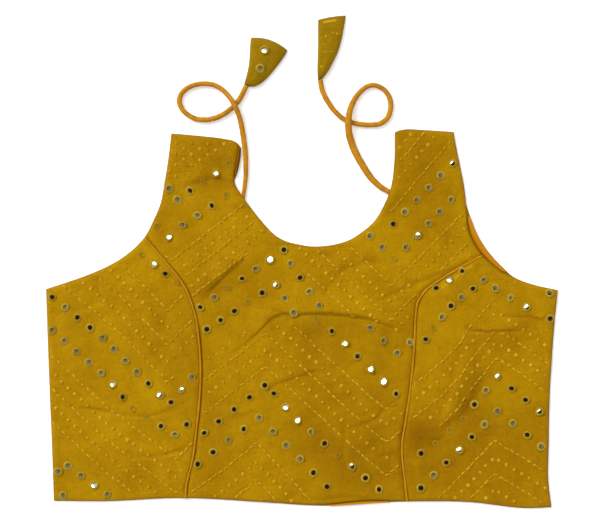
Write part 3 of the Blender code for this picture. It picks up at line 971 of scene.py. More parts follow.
@dataclass
class Relief:
    """How high the front stands over the back, with its folds, creases and puckers, and the painted shade in
    its colour.
    """

    cut: BlouseCut
    bust_ridge: Any = (
        (-80.0, 0.0), (-58.0, 0.8), (-32.0, 1.6), (0.0, 3.1), (45.0, 3.5), (72.0, 2.8), (92.0, 1.0),
        (104.0, 0.0),
    )
    bust_crest: float = 3.2
    bust_above: float = 17.0
    bust_below: float = 9.0
    folds: tuple[Fold, ...] = (
        Fold((-99.0, 17.0), (-56.0, 57.0), 1.7, 3.4, 11.0),
        Fold((-19.0, 5.0), (-47.0, 11.0), 0.9, 2.5, 7.0),
        Fold((-142.0, -93.5), (-198.0, -88.0), 1.6, 3.0, 12.0),
        Fold((221.0, -10.0), (148.0, -9.0), 1.9, 2.8, 10.0),
        Fold((240.0, 4.5), (190.0, 3.0), 1.5, 2.8, 8.0),
        Fold((166.0, 56.0), (118.0, 20.0), 1.6, 3.2, 9.0),
        Fold((153.0, -22.0), (124.0, -118.0), 1.8, 7.0, 16.0),
        Fold((-112.0, -127.0), (-140.0, -131.0), 0.9, 2.5, 8.0),
    )
    swells: tuple[Swell, ...] = (
        Swell(48.0, 34.0, 42.0, 20.0, 1.3),
        Swell(-72.0, 62.0, 30.0, 26.0, 1.1),
        Swell(-158.0, -12.0, 46.0, 36.0, 1.8),
        Swell(-150.0, -128.0, 50.0, 26.0, 0.9),
        Swell(-30.0, -78.0, 40.0, 40.0, 1.2),
        Swell(58.0, -72.0, 34.0, 44.0, 1.0),
        Swell(176.0, -52.0, 36.0, 34.0, 1.4),
        Swell(118.0, 128.0, 18.0, 34.0, 0.7),
        Swell(-98.0, 134.0, 20.0, 26.0, 0.6),
        Swell(-56.0, 114.0, 10.0, 10.0, 3.0),
        Swell(86.5, 119.5, 10.0, 10.0, 3.0),
    )
    creases: tuple[Crease, ...] = (
        Crease(((-11.4, 0.6), (-18.1, 5.4), (-30.6, 11.1), (-45.0, 10.2)), 0.3, 1.6, 0.3, 4.0, 0.35),
        Crease(
            ((-97.8, 14.0), (-86.3, 28.4), (-74.8, 39.9), (-56.5, 55.3), (-48.9, 75.5)),
            0.5, 1.5, 0.0, 5.0, 0.75,
        ),
        Crease(
            ((-115.1, 125.4), (-101.7, 131.1), (-88.2, 135.0), (-72.9, 133.1), (-59.4, 128.3)),
            0.5, 3.2, 0.35, 6.0, 0.45,
        ),
        Crease(((-113.2, 158.0), (-110.3, 146.5), (-103.6, 140.7)), 0.4, 2.6, 0.2, 5.0, 0.4),
        Crease(((-72.9, 105.2), (-57.5, 109.1)), 0.25, 1.6, 0.2, 4.0, 0.25),
        Crease(
            (
                (-228.4, -83.9), (-201.5, -85.8), (-174.6, -91.6),
                (-147.7, -93.5), (-120.9, -85.8), (-107.4, -77.2),
            ),
            0.5, 1.8, 0.3, 5.0, 0.5,
        ),
        Crease(
            ((-163.1, -131.9), (-136.2, -130.9), (-120.9, -127.1), (-104.5, -122.3)),
            0.35, 1.8, 0.25, 5.0, 0.35,
        ),
        Crease(((-243.7, 2.5), (-213.0, 10.2), (-184.2, 19.8), (-145.8, 33.2)), 0.35, 4.5, 0.3, 8.0, 0.2),
        Crease(((-155.4, 0.6), (-149.7, -12.9), (-140.1, -30.1), (-132.4, -51.3)), 0.3, 2.6, 0.3, 6.0, 0.2),
        Crease(
            ((19.3, 19.8), (28.9, 37.1), (40.4, 48.6), (67.3, 56.3), (94.2, 52.4)),
            0.55, 5.0, 0.5, 9.0, 0.3,
        ),
        Crease(((67.3, 14.0), (90.3, 25.5), (117.2, 37.1), (155.6, 52.4)), 0.5, 2.8, 0.3, 7.0, 0.35),
        Crease(((136.4, 22.7), (147.0, 15.0), (171.0, 10.2)), 0.3, 1.8, 0.2, 4.0, 0.3),
        Crease(((151.8, -9.0), (176.7, -11.9), (201.7, -10.9), (217.1, -10.0)), 0.6, 1.4, 0.0, 4.0, 1.3),
        Crease(((190.2, 2.5), (219.0, 2.5), (228.6, -0.4), (242.0, 5.4)), 0.5, 1.4, 0.0, 4.0, 1.0),
        Crease(
            ((182.5, -47.4), (171.0, -62.8), (155.6, -89.7), (132.6, -108.9), (113.4, -122.3)),
            0.9, 5.5, 0.5, 10.0, 0.35,
        ),
        Crease(((153.7, -26.3), (144.1, -62.8), (132.6, -97.3)), 0.5, 4.0, 0.4, 8.0, 0.25),
        Crease(((121.1, -122.3), (128.7, -116.5), (138.3, -110.8)), 0.4, 1.8, 0.2, 4.0, 0.45),
        Crease(((165.2, -112.7), (182.5, -110.8), (197.9, -114.6)), 0.25, 2.2, 0.2, 5.0, 0.2),
        Crease(
            ((-34.5, -72.4), (-29.7, -66.6), (-23.9, -61.8), (-9.5, -57.0), (9.7, -51.3), (25.1, -47.4)),
            0.45, 1.5, 0.3, 4.0, 0.6,
        ),
        Crease(((38.5, -93.5), (40.4, -112.7), (38.5, -131.9), (41.4, -147.3)), 0.3, 2.0, 0.25, 5.0, 0.25),
        Crease(
            ((40.4, -105.0), (55.8, -101.2), (69.2, -96.4), (78.8, -86.8), (92.3, -80.1)),
            0.4, 1.8, 0.25, 5.0, 0.45,
        ),
        Crease(((69.2, -133.8), (82.7, -129.0), (96.1, -128.1)), 0.3, 1.8, 0.2, 4.0, 0.3),
        Crease(((-5.7, -171.3), (17.4, -172.2), (46.2, -169.3), (73.1, -172.2)), 0.3, 1.6, 0.2, 4.0, 0.45),
        Crease(((-94.0, -97.3), (-63.3, -95.4), (-38.3, -85.8)), 0.3, 3.0, 0.2, 6.0, 0.15),
        Crease(((-197.7, 42.8), (-196.7, 31.3), (-192.9, 21.7)), 0.35, 2.4, 0.2, 5.0, 0.4),
    )
    # Patches of painted shade
    shadows: tuple[Shadow, ...] = (
        Shadow(-59.4, 125.4, 5.8, 8.6, 0.4),
        Shadow(-88.2, 129.2, 25.0, 5.8, 0.25),
        Shadow(-82.5, 31.3, 19.2, 9.6, 0.3),
        Shadow(-86.3, -143.4, 11.5, 13.4, 0.25),
        Shadow(-1.8, 71.6, 38.4, 4.8, 0.2),
        Shadow(161.4, -78.1, 15.0, 30.0, 0.42),
        Shadow(115.0, -112.0, 20.0, 18.0, 0.5),
        Shadow(82.7, 104.3, 7.7, 6.7, 0.25),
        Shadow(228.6, -116.5, 11.5, 57.6, 0.12),
        Shadow(-136.2, 77.4, 8.6, 11.5, 0.25),
        Shadow(-1.8, -10.9, 57.6, 7.7, 0.15),
        Shadow(46.0, -130.0, 66.0, 56.0, 0.42),
        Shadow(190.0, -140.0, 74.0, 50.0, 0.4),
        Shadow(-97.0, 156.0, 34.0, 30.0, 0.32),
        Shadow(116.0, 146.0, 34.0, 54.0, 0.44),
        Shadow(10.0, -60.0, 60.0, 60.0, 0.2),
        Shadow(10.0, 34.0, 80.0, 40.0, 0.1),
        Shadow(180.0, -20.0, 70.0, 60.0, 0.13),
        Shadow(-96.0, -56.0, 24.0, 96.0, 0.3),
        Shadow(-60.0, -150.0, 50.0, 34.0, 0.08),
    )
    crease_weight: Any = (
        (-92.0, 0.0), (-60.0, 0.2), (-40.0, 0.4), (-26.0, 0.85), (0.0, 1.0), (48.0, 1.0), (74.0, 0.6),
        (98.0, 0.0),
    )
    bust_lip: float = 0.25
    bust_groove: float = 0.1
    bust_groove_reach: float = 2.0
    bust_run: Place = (-92.0, 98.0)
    # Painted shade in the bust crease, and in a band under its ridge
    bust_painted_shade: float = 0.03
    bust_painted_shade_reach: float = 3.0
    under_bust_painted_shade: float = 0.12
    under_place: float = 4.0
    under_reach: float = 6.0
    rumple: float = 0.26
    wave_lengths: tuple[float, float] = (16.0, 80.0)
    wave_count: int = 22
    wave_bend: float = 0.9
    fold_taper: float = 4.0
    crease_taper: float = 5.0
    # Scales the creases' painted shade
    crease_painted_shade: float = 0.7
    row_margin: float = 4.0
    row_pull: float = 0.2
    row_reach: float = 1.5
    dimple_pull: float = 0.22
    dimple_reach: float = 5.5
    seed: int = 11
    rows: list[np.ndarray] = field(default_factory=list)
    dimples: np.ndarray = field(default_factory=lambda: np.zeros((0, 2)))

    @staticmethod
    def ridge(distance: np.ndarray, crest: float, above: float) -> np.ndarray:
        """Give a fold's cross-section: nothing at the crease, 1 at its crest, then a soft fall."""
        rise = np.clip(distance / crest, 0.0, 1.0)
        return rise * rise * (3 - 2 * rise) * bell(np.maximum(distance - crest, 0.0), above)

    @staticmethod
    def lip(distance: np.ndarray, below: float) -> np.ndarray:
        """Give the small swell of the cloth that comes out from under a fold."""
        away = np.maximum(-distance, 0.0) / below
        return away * np.exp(1.0 - away)

    def main_forms(self, places: np.ndarray) -> np.ndarray:
        """Give the height of the folds and swells that the solids have too.

        Args:
            places: points, one a row.

        Returns:
            Their heights above where the front lies flat on the back.
        """
        x, y = places.T
        distance = y - self.cut.crease(x)
        section = self.ridge(distance, self.bust_crest, self.bust_above)
        total = smooth(self.bust_ridge, x) * (section + self.bust_lip * self.lip(distance, self.bust_below))
        for fold in self.folds:
            run = np.array(fold.end) - np.array(fold.start)
            length = np.hypot(*run)
            along = ((x - fold.start[0]) * run[0] + (y - fold.start[1]) * run[1]) / length**2
            aside = ((y - fold.start[1]) * run[0] - (x - fold.start[0]) * run[1]) / length
            ridge = self.ridge(aside, fold.crest, fold.width)
            total = total + fold.height * taper(along, self.fold_taper) * ridge
        for swell in self.swells:
            reach = ((x - swell.x) / swell.reach_x) ** 2 + ((y - swell.y) / swell.reach_y) ** 2
            total = total + swell.height * np.exp(-reach)
        return total

    def at_bust(self, places: np.ndarray) -> tuple[Nearest, np.ndarray]:
        """Measure points against the bust crease.

        Args:
            places: points, one a row.

        Returns:
            Where they stand to it, and how deep it is beside them.
        """
        x = np.linspace(*self.bust_run, 60)
        line = np.stack([x, self.cut.crease(x)], axis=1)
        return nearest(places, line), smooth(self.crease_weight, places[:, 0])

    def fine_forms(self, places: np.ndarray) -> np.ndarray:
        """Give the height of the small creases, puckers and unevenness.

        Args:
            places: points, one a row.

        Returns:
            The heights to add.
        """
        total = np.zeros(len(places))
        for crease in self.creases:
            near = nearest(places, np.array(crease.line))
            off = np.maximum(near.side, 0.0) / crease.reach
            rise = crease.lift * off * np.exp(1.0 - off) - crease.depth * bell(near.distance, crease.width)
            total += taper(near.along, self.crease_taper) * rise
        near, deep = self.at_bust(places)
        total -= self.bust_groove * deep * bell(near.distance, self.bust_groove_reach)
        waves = np.random.default_rng(self.seed)
        for length in np.geomspace(*self.wave_lengths, self.wave_count):
            angle = waves.uniform(0.0, math.pi)
            phase = waves.uniform(0.0, 2.0 * math.pi)
            across_it = places @ np.array([math.cos(angle), math.sin(angle)])
            along_it = places @ np.array([-math.sin(angle), math.cos(angle)])
            bend = self.wave_bend * np.sin(along_it / (1.7 * length))
            wave = np.sin(across_it * 2.0 * math.pi / length + phase + bend)
            total += self.rumple * (length / self.wave_lengths[1]) ** 0.4 * wave / 2.2
        for row in self.rows:
            low, high = row.min(axis=0) - self.row_margin, row.max(axis=0) + self.row_margin
            beside_row = ((places > low) & (places < high)).all(axis=1)
            if beside_row.any():
                pull = nearest(places[beside_row], row).distance
                total[beside_row] -= self.row_pull * bell(pull, self.row_reach)
        for dimple in self.dimples:
            total -= self.dimple_pull * bell(np.hypot(*(places - dimple).T), self.dimple_reach)
        return total

    def height(self, places: np.ndarray) -> np.ndarray:
        """Give the whole height above where the front lies flat."""
        return self.main_forms(places) + self.fine_forms(places)

    def shade(self, places: np.ndarray) -> np.ndarray:
        """Give how much painted shade darkens the cloth's colour, from 0 to 1.

        Args:
            places: points, one a row.

        Returns:
            The shade at each.
        """
        total = np.zeros(len(places))
        for crease in self.creases:
            near = nearest(places, np.array(crease.line))
            dark = bell(near.distance, 0.6 * crease.width + 0.5)
            total += self.crease_painted_shade * crease.dark * taper(near.along, self.crease_taper) * dark
        # Painted shade in the bust crease and in a band under its ridge
        near, deep = self.at_bust(places)
        total += self.bust_painted_shade * deep * bell(near.distance, self.bust_painted_shade_reach)
        total += self.under_bust_painted_shade * deep * bell(near.side + self.under_place, self.under_reach)
        for spot in self.shadows:
            x, y = (places - np.array([spot.x, spot.y])).T
            total += spot.dark * np.exp(-((x / spot.reach_x) ** 2) - (y / spot.reach_y) ** 2)
        return np.clip(total, 0.0, 1.0)


@dataclass
class Sheet:
    """A cloth panel while it is being made: its points on the plan and its faces."""

    places: np.ndarray
    faces: list[tuple[int, ...]]


def weld(grids: Sequence[np.ndarray]) -> Sheet:
    """Join grids of points that share their edges.

    Args:
        grids: the grids, row by row.

    Returns:
        Their points, welded, and their faces.
    """
    known: dict[tuple[int, ...], int] = {}
    places: list[np.ndarray] = []
    faces: list[tuple[int, ...]] = []
    for grid in grids:
        numbers = np.zeros(grid.shape[:2], int)
        for i, row in enumerate(grid):
            for j, point in enumerate(row):
                key = tuple(np.round(point * 1000).astype(int))
                if key not in known:
                    known[key] = len(places)
                    places.append(point)
                numbers[i, j] = known[key]
        for lower, upper in zip(numbers, numbers[1:]):
            for j in range(len(lower) - 1):
                face = dict.fromkeys((lower[j], lower[j + 1], upper[j + 1], upper[j]))
                if len(face) > 2:
                    faces.append(tuple(map(int, face)))
    return Sheet(np.array(places), faces)


def make_mesh(name: str, points: np.ndarray, faces: Sequence[tuple[int, ...]]) -> bpy.types.Mesh:
    """Make a smooth mesh.

    Args:
        name: its name.
        points: its points in millimetres.
        faces: its faces.

    Returns:
        The mesh.
    """
    mesh = bpy.data.meshes.new(name)
    mesh.from_pydata([tuple(point) for point in np.asarray(points) * MM], [], list(faces))
    mesh.update()
    mesh.shade_smooth()
    return mesh


def grid_faces(rows: int, columns: int) -> list[tuple[int, ...]]:
    """List the faces between the points of a grid, which are numbered row by row."""
    starts = [row * columns + column for row in range(rows - 1) for column in range(columns - 1)]
    return [(k, k + 1, k + columns + 1, k + columns) for k in starts]


def outward(mesh: bpy.types.Mesh, weld_within: float = 0.0) -> None:
    """Turn a closed mesh's faces outwards.

    Args:
        mesh: the mesh.
        weld_within: weld points that lie this close, in metres; 0 welds none.
    """
    work = bmesh.new()
    work.from_mesh(mesh)
    if weld_within > 0.0:
        bmesh.ops.remove_doubles(work, verts=work.verts, dist=weld_within)
    bmesh.ops.recalc_face_normals(work, faces=work.faces)
    work.to_mesh(mesh)
    work.free()


def seat(surface: BVHTree, x: float, y: float) -> Optional[tuple[Vector, Vector]]:
    """Find where a sewn thing sits.

    Args:
        surface: what it is sewn on.
        x: its place across.
        y: its place up the blouse.

    Returns:
        The point and the surface's normal there, or nothing past the surface's edge.
    """
    hit, normal, _, _ = surface.ray_cast(Vector((x, y, 60.0)), -UP)
    return None if hit is None else (hit, normal)


def carry(mesh: bpy.types.Mesh, name: str, values: np.ndarray) -> None:
    """Store one number at each point of a mesh."""
    layer = mesh.attributes.new(name, "FLOAT", "POINT")
    layer.data.foreach_set("value", np.asarray(values, np.float32))


def place_piece(mesh: bpy.types.Mesh, material: bpy.types.Material) -> bpy.types.Object:
    """Put a piece in the scene, dressed and riding on the blouse.

    Args:
        mesh: its shape.
        material: its finish.

    Returns:
        The piece.
    """
    piece = bpy.data.objects.new(mesh.name, mesh)
    if not mesh.materials:
        mesh.materials.append(material)
    bpy.context.scene.collection.objects.link(piece)
    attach(piece, "root")
    log.info("%s: %d faces", piece.name, len(mesh.polygons))
    return piece


def thicken(piece: bpy.types.Object, thickness: float, outwards: float) -> None:
    """Give a sheet its cloth thickness.

    Args:
        piece: the sheet.
        thickness: in millimetres.
        outwards: 1 to grow upwards and -1 downwards.
    """
    wall = piece.modifiers.new("Cloth", "SOLIDIFY")
    wall.thickness = thickness * MM
    wall.offset = outwards
    wall.use_even_offset = False


@dataclass
class FrontPanels:
    """The three embroidered front panels, which hide the seams' edges under the piping."""

    cut: BlouseCut
    relief: Relief
    columns: tuple[int, int, int] = (76, 70, 86)
    rows: tuple[int, int, int] = (106, 58, 66)
    seam_inset: float = 0.75
    edge_drop: float = 1.05
    edge_reach: float = 3.4
    seam_from: float = 1.0
    seam_over: float = 4.0
    seam_share: float = 0.35
    lowest_top: float = 2.1
    lowest_edge: float = 1.62
    tip_step: float = 2.0
    lip_height: float = 0.14
    lip_place: float = 5.0
    lip_reach: float = 1.8
    groove_depth: float = 0.75
    groove_reach: float = 3.4
    # Painted shade in the centre panel's seam grooves
    groove_painted_shade: float = 0.3
    groove_painted_shade_reach: float = 1.9
    # These three shape the painted shade along the open edges
    rim_reach: float = 1.1
    rim_from: float = 1.5
    rim_over: float = 2.0

    def __post_init__(self) -> None:
        """Draw the seams."""
        below, above, _ = self.rows
        cut = self.cut
        self.left_line = cut.seam_points(cut.left_seam, cut.left_seam_top, below, above)
        self.right_line = cut.seam_points(cut.right_seam, cut.right_seam_top, below, above)
        self.outlines: dict[str, np.ndarray] = {}
        self.tops: list[tuple[np.ndarray, list[tuple[int, ...]]]] = []

    def centre_grids(self) -> list[np.ndarray]:
        """Draw the front centre with both straps.

        Returns:
            Two grids below the neck and one for each strap.
        """
        cut = self.cut
        knee, _, strap_rows = self.rows
        left_columns, right_columns, _ = self.columns
        left = beside(self.left_line, self.seam_inset)
        right = beside(self.right_line, -self.seam_inset)

        def split_row(guide: Edge, start: Any, end: Any) -> np.ndarray:
            """Space a row that has a point under the neck's bottom."""
            middle = (cut.neck_centre, guide(cut.neck_centre))
            first = across(guide, start, middle, left_columns)
            return np.concatenate([first, across(guide, middle, end, right_columns)[1:]])

        def strap_edge(outline: Edge, seam: np.ndarray, shoulder: Edge) -> np.ndarray:
            """Space a strap's armhole edge from the seam's top to the shoulder."""
            edge = up(outline, seam[-1][1] + self.tip_step, corner(outline, shoulder), strap_rows - 1)
            return np.concatenate([seam[-1:], edge])

        hem = split_row(cut.hem_front, left[0], right[0])
        bust = split_row(cut.crease, left[knee], right[knee])
        top = split_row(cut.neck_row, left[-1], right[-1])
        left_armhole = strap_edge(cut.left_edge, left, cut.left_shoulder)
        high = corner(cut.front_neck_left, cut.left_shoulder)
        left_neck = up(cut.front_neck_left, cut.neck_bottom, high, strap_rows)
        left_end = across(cut.left_shoulder, left_armhole[-1], left_neck[-1], left_columns)
        left_strap = patch(left_armhole, left_neck, top[: left_columns + 1], left_end)
        right_armhole = strap_edge(cut.right_front_edge, right, cut.right_shoulder)
        high = corner(cut.front_neck_right, cut.right_shoulder)
        right_neck = up(cut.front_neck_right, cut.neck_bottom, high, strap_rows)
        right_end = across(cut.right_shoulder, right_neck[-1], right_armhole[-1], right_columns)
        right_strap = patch(right_neck, right_armhole, top[left_columns:], right_end)
        outline = [hem, right, right_armhole, right_end[::-1], right_neck[::-1]]
        outline += [left_neck, left_end[::-1], left_armhole[::-1], left[::-1]]
        self.outlines["front_centre"] = np.concatenate(outline)
        return [
            patch(left[: knee + 1], right[: knee + 1], hem, bust),
            patch(left[knee:], right[knee:], bust, top),
            left_strap,
            right_strap,
        ]

    def side_grids(self, name: str, outline: Edge, underarm: float, line: np.ndarray, side: int) -> list:
        """Draw a front side panel.

        Args:
            name: the panel's name.
            outline: gives its outer edge's x at a height.
            underarm: height of the underarm.
            line: its seam's points.
            side: -1 on the left of the seam and 1 on the right.

        Returns:
            Its two grids.
        """
        cut = self.cut
        count = self.columns[2]
        seam = beside(line, side * self.seam_inset)
        knee = int(np.argmin(abs(seam[:, 1] - underarm)))
        edge = up(outline, corner(outline, cut.hem_front), underarm, knee)
        armhole = up(outline, underarm, seam[-1][1] - self.tip_step, len(seam) - 1 - knee)
        hem = across(cut.hem_front, edge[0], seam[0], count)
        middle = straight(edge[-1], seam[knee], count)
        top = straight(armhole[-1], seam[-1], count)
        grids = [patch(edge, seam[: knee + 1], hem, middle), patch(armhole, seam[knee:], middle, top)]
        self.outlines[name] = np.concatenate([hem, seam, top[::-1], armhole[::-1], edge[::-1]])
        return [grid[:, ::-1] for grid in grids] if side > 0 else grids

    def panel(self, name: str, grids: list[np.ndarray], material: bpy.types.Material) -> bpy.types.Object:
        """Raise a panel over the back, sink its edges and give it its cloth.

        Args:
            name: the node that it stands for.
            grids: its grids, flat.
            material: its finish.

        Returns:
            The panel.
        """
        sheet = weld(grids)
        places = sheet.places
        away = nearest(places, self.outlines[name]).distance
        seams = np.minimum(*(nearest(places, line).distance for line in (self.left_line, self.right_line)))
        by_seam = np.clip((seams - self.seam_from) / self.seam_over, self.seam_share, 1.0)
        drop = self.edge_drop * by_seam
        drop = drop * np.clip(1.0 - away / self.edge_reach, 0.0, 1.0) ** 2
        drop -= self.lip_height * bell(away - self.lip_place, self.lip_reach)
        # Painted shade from the relief, and on the centre panel in its seam grooves
        shade = self.relief.shade(places)
        if name == "front_centre":
            drop += self.groove_depth * bell(seams, self.groove_reach)
            shade += self.groove_painted_shade * bell(seams, self.groove_painted_shade_reach)
        raised = np.maximum(FRONT_TOP + self.relief.height(places), self.lowest_top)
        points = np.column_stack([places, np.maximum(raised - drop, self.lowest_edge)])
        mesh = make_mesh(name + "_cloth", points, sheet.faces)
        carry(mesh, "shade", np.clip(shade, 0.0, 1.0))
        # The rim attribute is painted shade along the open edges, kept off the seams
        open_rim = np.clip((seams - self.rim_from) / self.rim_over, 0.0, 1.0)
        carry(mesh, "rim", bell(away, self.rim_reach) * open_rim)
        self.tops.append((points, sheet.faces))
        piece = place_piece(mesh, material)
        thicken(piece, FRONT_CLOTH, -1.0)
        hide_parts(name)
        return piece

    def build(self, palette: Palette) -> None:
        """Make the three panels.

        Args:
            palette: the finishes.
        """
        cut = self.cut
        centre = self.panel("front_centre", self.centre_grids(), palette.cloth)
        grids = self.side_grids("front_side_left", cut.left_edge, cut.underarm_left, self.left_line, -1)
        left = self.panel("front_side_left", grids, palette.cloth)
        edge = cut.right_front_edge
        grids = self.side_grids("front_side_right", edge, cut.underarm_right, self.right_line, 1)
        right = self.panel("front_side_right", grids, palette.cloth)

    def surface(self) -> BVHTree:
        """Join the three upper faces, for what is sewn on them.

        Returns:
            A tree that finds where a sewn thing sits.
        """
        points: list[tuple[float, ...]] = []
        faces: list[tuple[int, ...]] = []
        for places, panel_faces in self.tops:
            start = len(points)
            points += [tuple(point) for point in places]
            faces += [tuple(k + start for k in face) for face in panel_faces]
        return BVHTree.FromPolygons(points, faces)


@dataclass
class BackHalves:
    """The plain back in two halves, flat on the surface, with a few low creases of its own."""

    cut: BlouseCut
    columns: int = 44
    rows: tuple[int, int, int] = (54, 12, 36)
    centre_gap: float = 0.15
    floor_gap: float = 0.04
    creases: tuple[Crease, ...] = (
        Crease(((-190.0, -60.0), (-150.0, -30.0), (-96.0, -22.0)), 0.4, 4.0, 0.0, 6.0, 0.3),
        Crease(((-80.0, -140.0), (-62.0, -96.0), (-58.0, -40.0)), 0.35, 4.5, 0.0, 6.0, 0.25),
        Crease(((-120.0, 60.0), (-98.0, 96.0), (-90.0, 140.0)), 0.3, 3.5, 0.0, 6.0, 0.2),
        Crease(((60.0, -20.0), (110.0, -34.0), (178.0, -26.0)), 0.45, 4.0, 0.0, 6.0, 0.3),
        Crease(((130.0, -150.0), (118.0, -104.0), (96.0, -70.0)), 0.35, 4.5, 0.0, 6.0, 0.25),
        Crease(((112.0, 70.0), (120.0, 104.0), (116.0, 150.0)), 0.3, 3.5, 0.0, 6.0, 0.2),
    )

    def grids(self, outline: Edge, underarm: float, neckline: Edge, shoulder: Edge, side: int) -> list:
        """Draw one half.

        Args:
            outline: gives its outer edge's x at a height.
            underarm: height of the underarm.
            neckline: gives its neck edge's x at a height.
            shoulder: gives its shoulder's y.
            side: -1 for the left half and 1 for the right.

        Returns:
            Its three grids, from the hem to the shoulder.
        """
        cut = self.cut
        bottom = cut.back_neck_bottom
        centre = side * self.centre_gap
        low, middle, high = self.rows
        edges = (
            (up(outline, corner(outline, cut.hem_back), underarm, low), underarm),
            (up(outline, underarm, bottom, middle), bottom),
            (up(outline, bottom, corner(outline, shoulder), high), None),
        )
        lower = across(cut.hem_back, edges[0][0][0], (centre, cut.hem_back(centre)), self.columns)
        result = []
        for edge, height in edges:
            if height is None:
                inner = up(neckline, bottom, corner(neckline, shoulder), len(edge) - 1)
                upper = across(shoulder, edge[-1], inner[-1], self.columns)
            else:
                inner = straight(lower[-1], (centre, height), len(edge) - 1)
                upper = straight(edge[-1], inner[-1], self.columns)
            grid = patch(edge, inner, lower, upper)
            result.append(grid[:, ::-1] if side > 0 else grid)
            lower = upper
        return result

    def half(self, name: str, grids: list[np.ndarray], material: bpy.types.Material) -> bpy.types.Object:
        """Make one half from its grids.

        Args:
            name: the node that it stands for.
            grids: its grids.
            material: its finish.

        Returns:
            The half.
        """
        sheet = weld(grids)
        lift = np.zeros(len(sheet.places))
        shade = np.zeros(len(sheet.places))
        # The creases lift the back a little and put painted shade in its colour
        for crease in self.creases:
            near = nearest(sheet.places, np.array(crease.line))
            form = taper(near.along, 4.0) * bell(near.distance, crease.width)
            lift += crease.depth * form
            shade += crease.dark * form
        points = np.column_stack([sheet.places, self.floor_gap + lift])
        mesh = make_mesh(name + "_cloth", points, sheet.faces)
        carry(mesh, "shade", np.clip(shade, 0.0, 1.0))
        carry(mesh, "rim", np.zeros(len(points)))
        piece = place_piece(mesh, material)
        thicken(piece, BACK_CLOTH, 1.0)
        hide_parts(name)
        return piece

    def build(self, palette: Palette) -> dict[str, bpy.types.Object]:
        """Make both halves.

        Args:
            palette: the finishes.

        Returns:
            The halves by name.
        """
        cut = self.cut
        left = self.grids(cut.left_edge, cut.underarm_left, cut.back_neck_left, cut.left_shoulder, -1)
        right = self.grids(cut.right_edge, cut.underarm_right, cut.back_neck_right, cut.right_shoulder, 1)
        return {
            "back_left": self.half("back_left", left, palette.back),
            "back_right": self.half("back_right", right, palette.back),
        }


@dataclass
class Facings:
    """The strips of facing that show past the front's edges."""

    cut: BlouseCut
    armhole: Place = (45.0, 98.0)
    strap: Place = (136.0, 163.5)
    hem_reach: float = 28.8
    thickness: float = 0.5
    tuck: float = 0.5
    columns: int = 8
    armhole_steps: int = 44
    strap_steps: int = 26
    hem_steps: int = 40
    lowest: float = 1.0
    slope: float = 0.35
    roll: float = 0.35
    roll_place: float = 0.88
    roll_reach: float = 0.16

    def strip(self, name: str, edges: tuple[np.ndarray, np.ndarray], finish: Any, shade: Edge) -> Any:
        """Make a strip between two edges, with a rolled outer edge.

        Args:
            name: the node that it stands for.
            edges: its edge under the front and its outer edge.
            finish: its material.
            shade: gives how much painted shade darkens it, from 0 at the inner edge to 1 at the outer one.

        Returns:
            The strip.
        """
        inner, outer = edges
        t = np.linspace(0.0, 1.0, self.columns + 1)
        grid = inner[:, None] * (1.0 - t)[None, :, None] + outer[:, None] * t[None, :, None]
        rows, columns = grid.shape[:2]
        rise = self.lowest + self.slope * t + self.roll * bell(t - self.roll_place, self.roll_reach)
        height = np.broadcast_to(rise, (rows, columns))
        points = np.concatenate([grid, height[..., None]], axis=2).reshape(-1, 3)
        mesh = make_mesh(name + "_cloth", points, grid_faces(rows, columns))
        if mesh.polygons[0].normal.z < 0:
            mesh.flip_normals()
        carry(mesh, "shade", np.tile(shade(t), rows))
        piece = place_piece(mesh, finish)
        thicken(piece, self.thickness, 1.0)
        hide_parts(name)
        return piece

    def build(self, palette: Palette) -> dict[str, bpy.types.Object]:
        """Make the three strips.

        Args:
            palette: the finishes.

        Returns:
            The strips by name.
        """
        cut = self.cut
        inner = beside(up(cut.right_front_edge, *self.armhole, self.armhole_steps), self.tuck)
        outer = beside(up(cut.right_edge, *self.armhole, self.armhole_steps), -0.3)
        armhole = inner, outer
        inner = beside(up(cut.front_neck_left, *self.strap, self.strap_steps), self.tuck)
        strap = inner, up(cut.back_neck_left, *self.strap, self.strap_steps)
        x = cut.hem_turn_centre + np.linspace(-self.hem_reach, self.hem_reach, self.hem_steps + 1)
        inner = np.stack([x, cut.hem_front(x) - self.tuck], axis=1)
        hem = inner, np.stack([x, cut.hem_back(x) + 0.15], axis=1)
        # Painted shade: the armhole strip darkens at its inner edge under the front and a little at its outer
        # edge, the strap strip is dark brown past a thin line at its inner edge, and the hem strip darkens
        # under the front's hem
        plain, dark = palette.facing, palette.dark_facing
        return {
            "armhole": self.strip(
                "armhole_facing", armhole, plain, lambda t: 0.95 * bell(t, 0.22) + 0.3 * bell(t - 1.0, 0.12)
            ),
            "strap": self.strip("strap_facing", strap, dark, lambda t: np.clip((t - 0.12) / 0.3, 0.0, 1.0)),
            "hem": self.strip("hem_facing", hem, plain, lambda t: 0.5 * bell(t, 0.3)),
        }


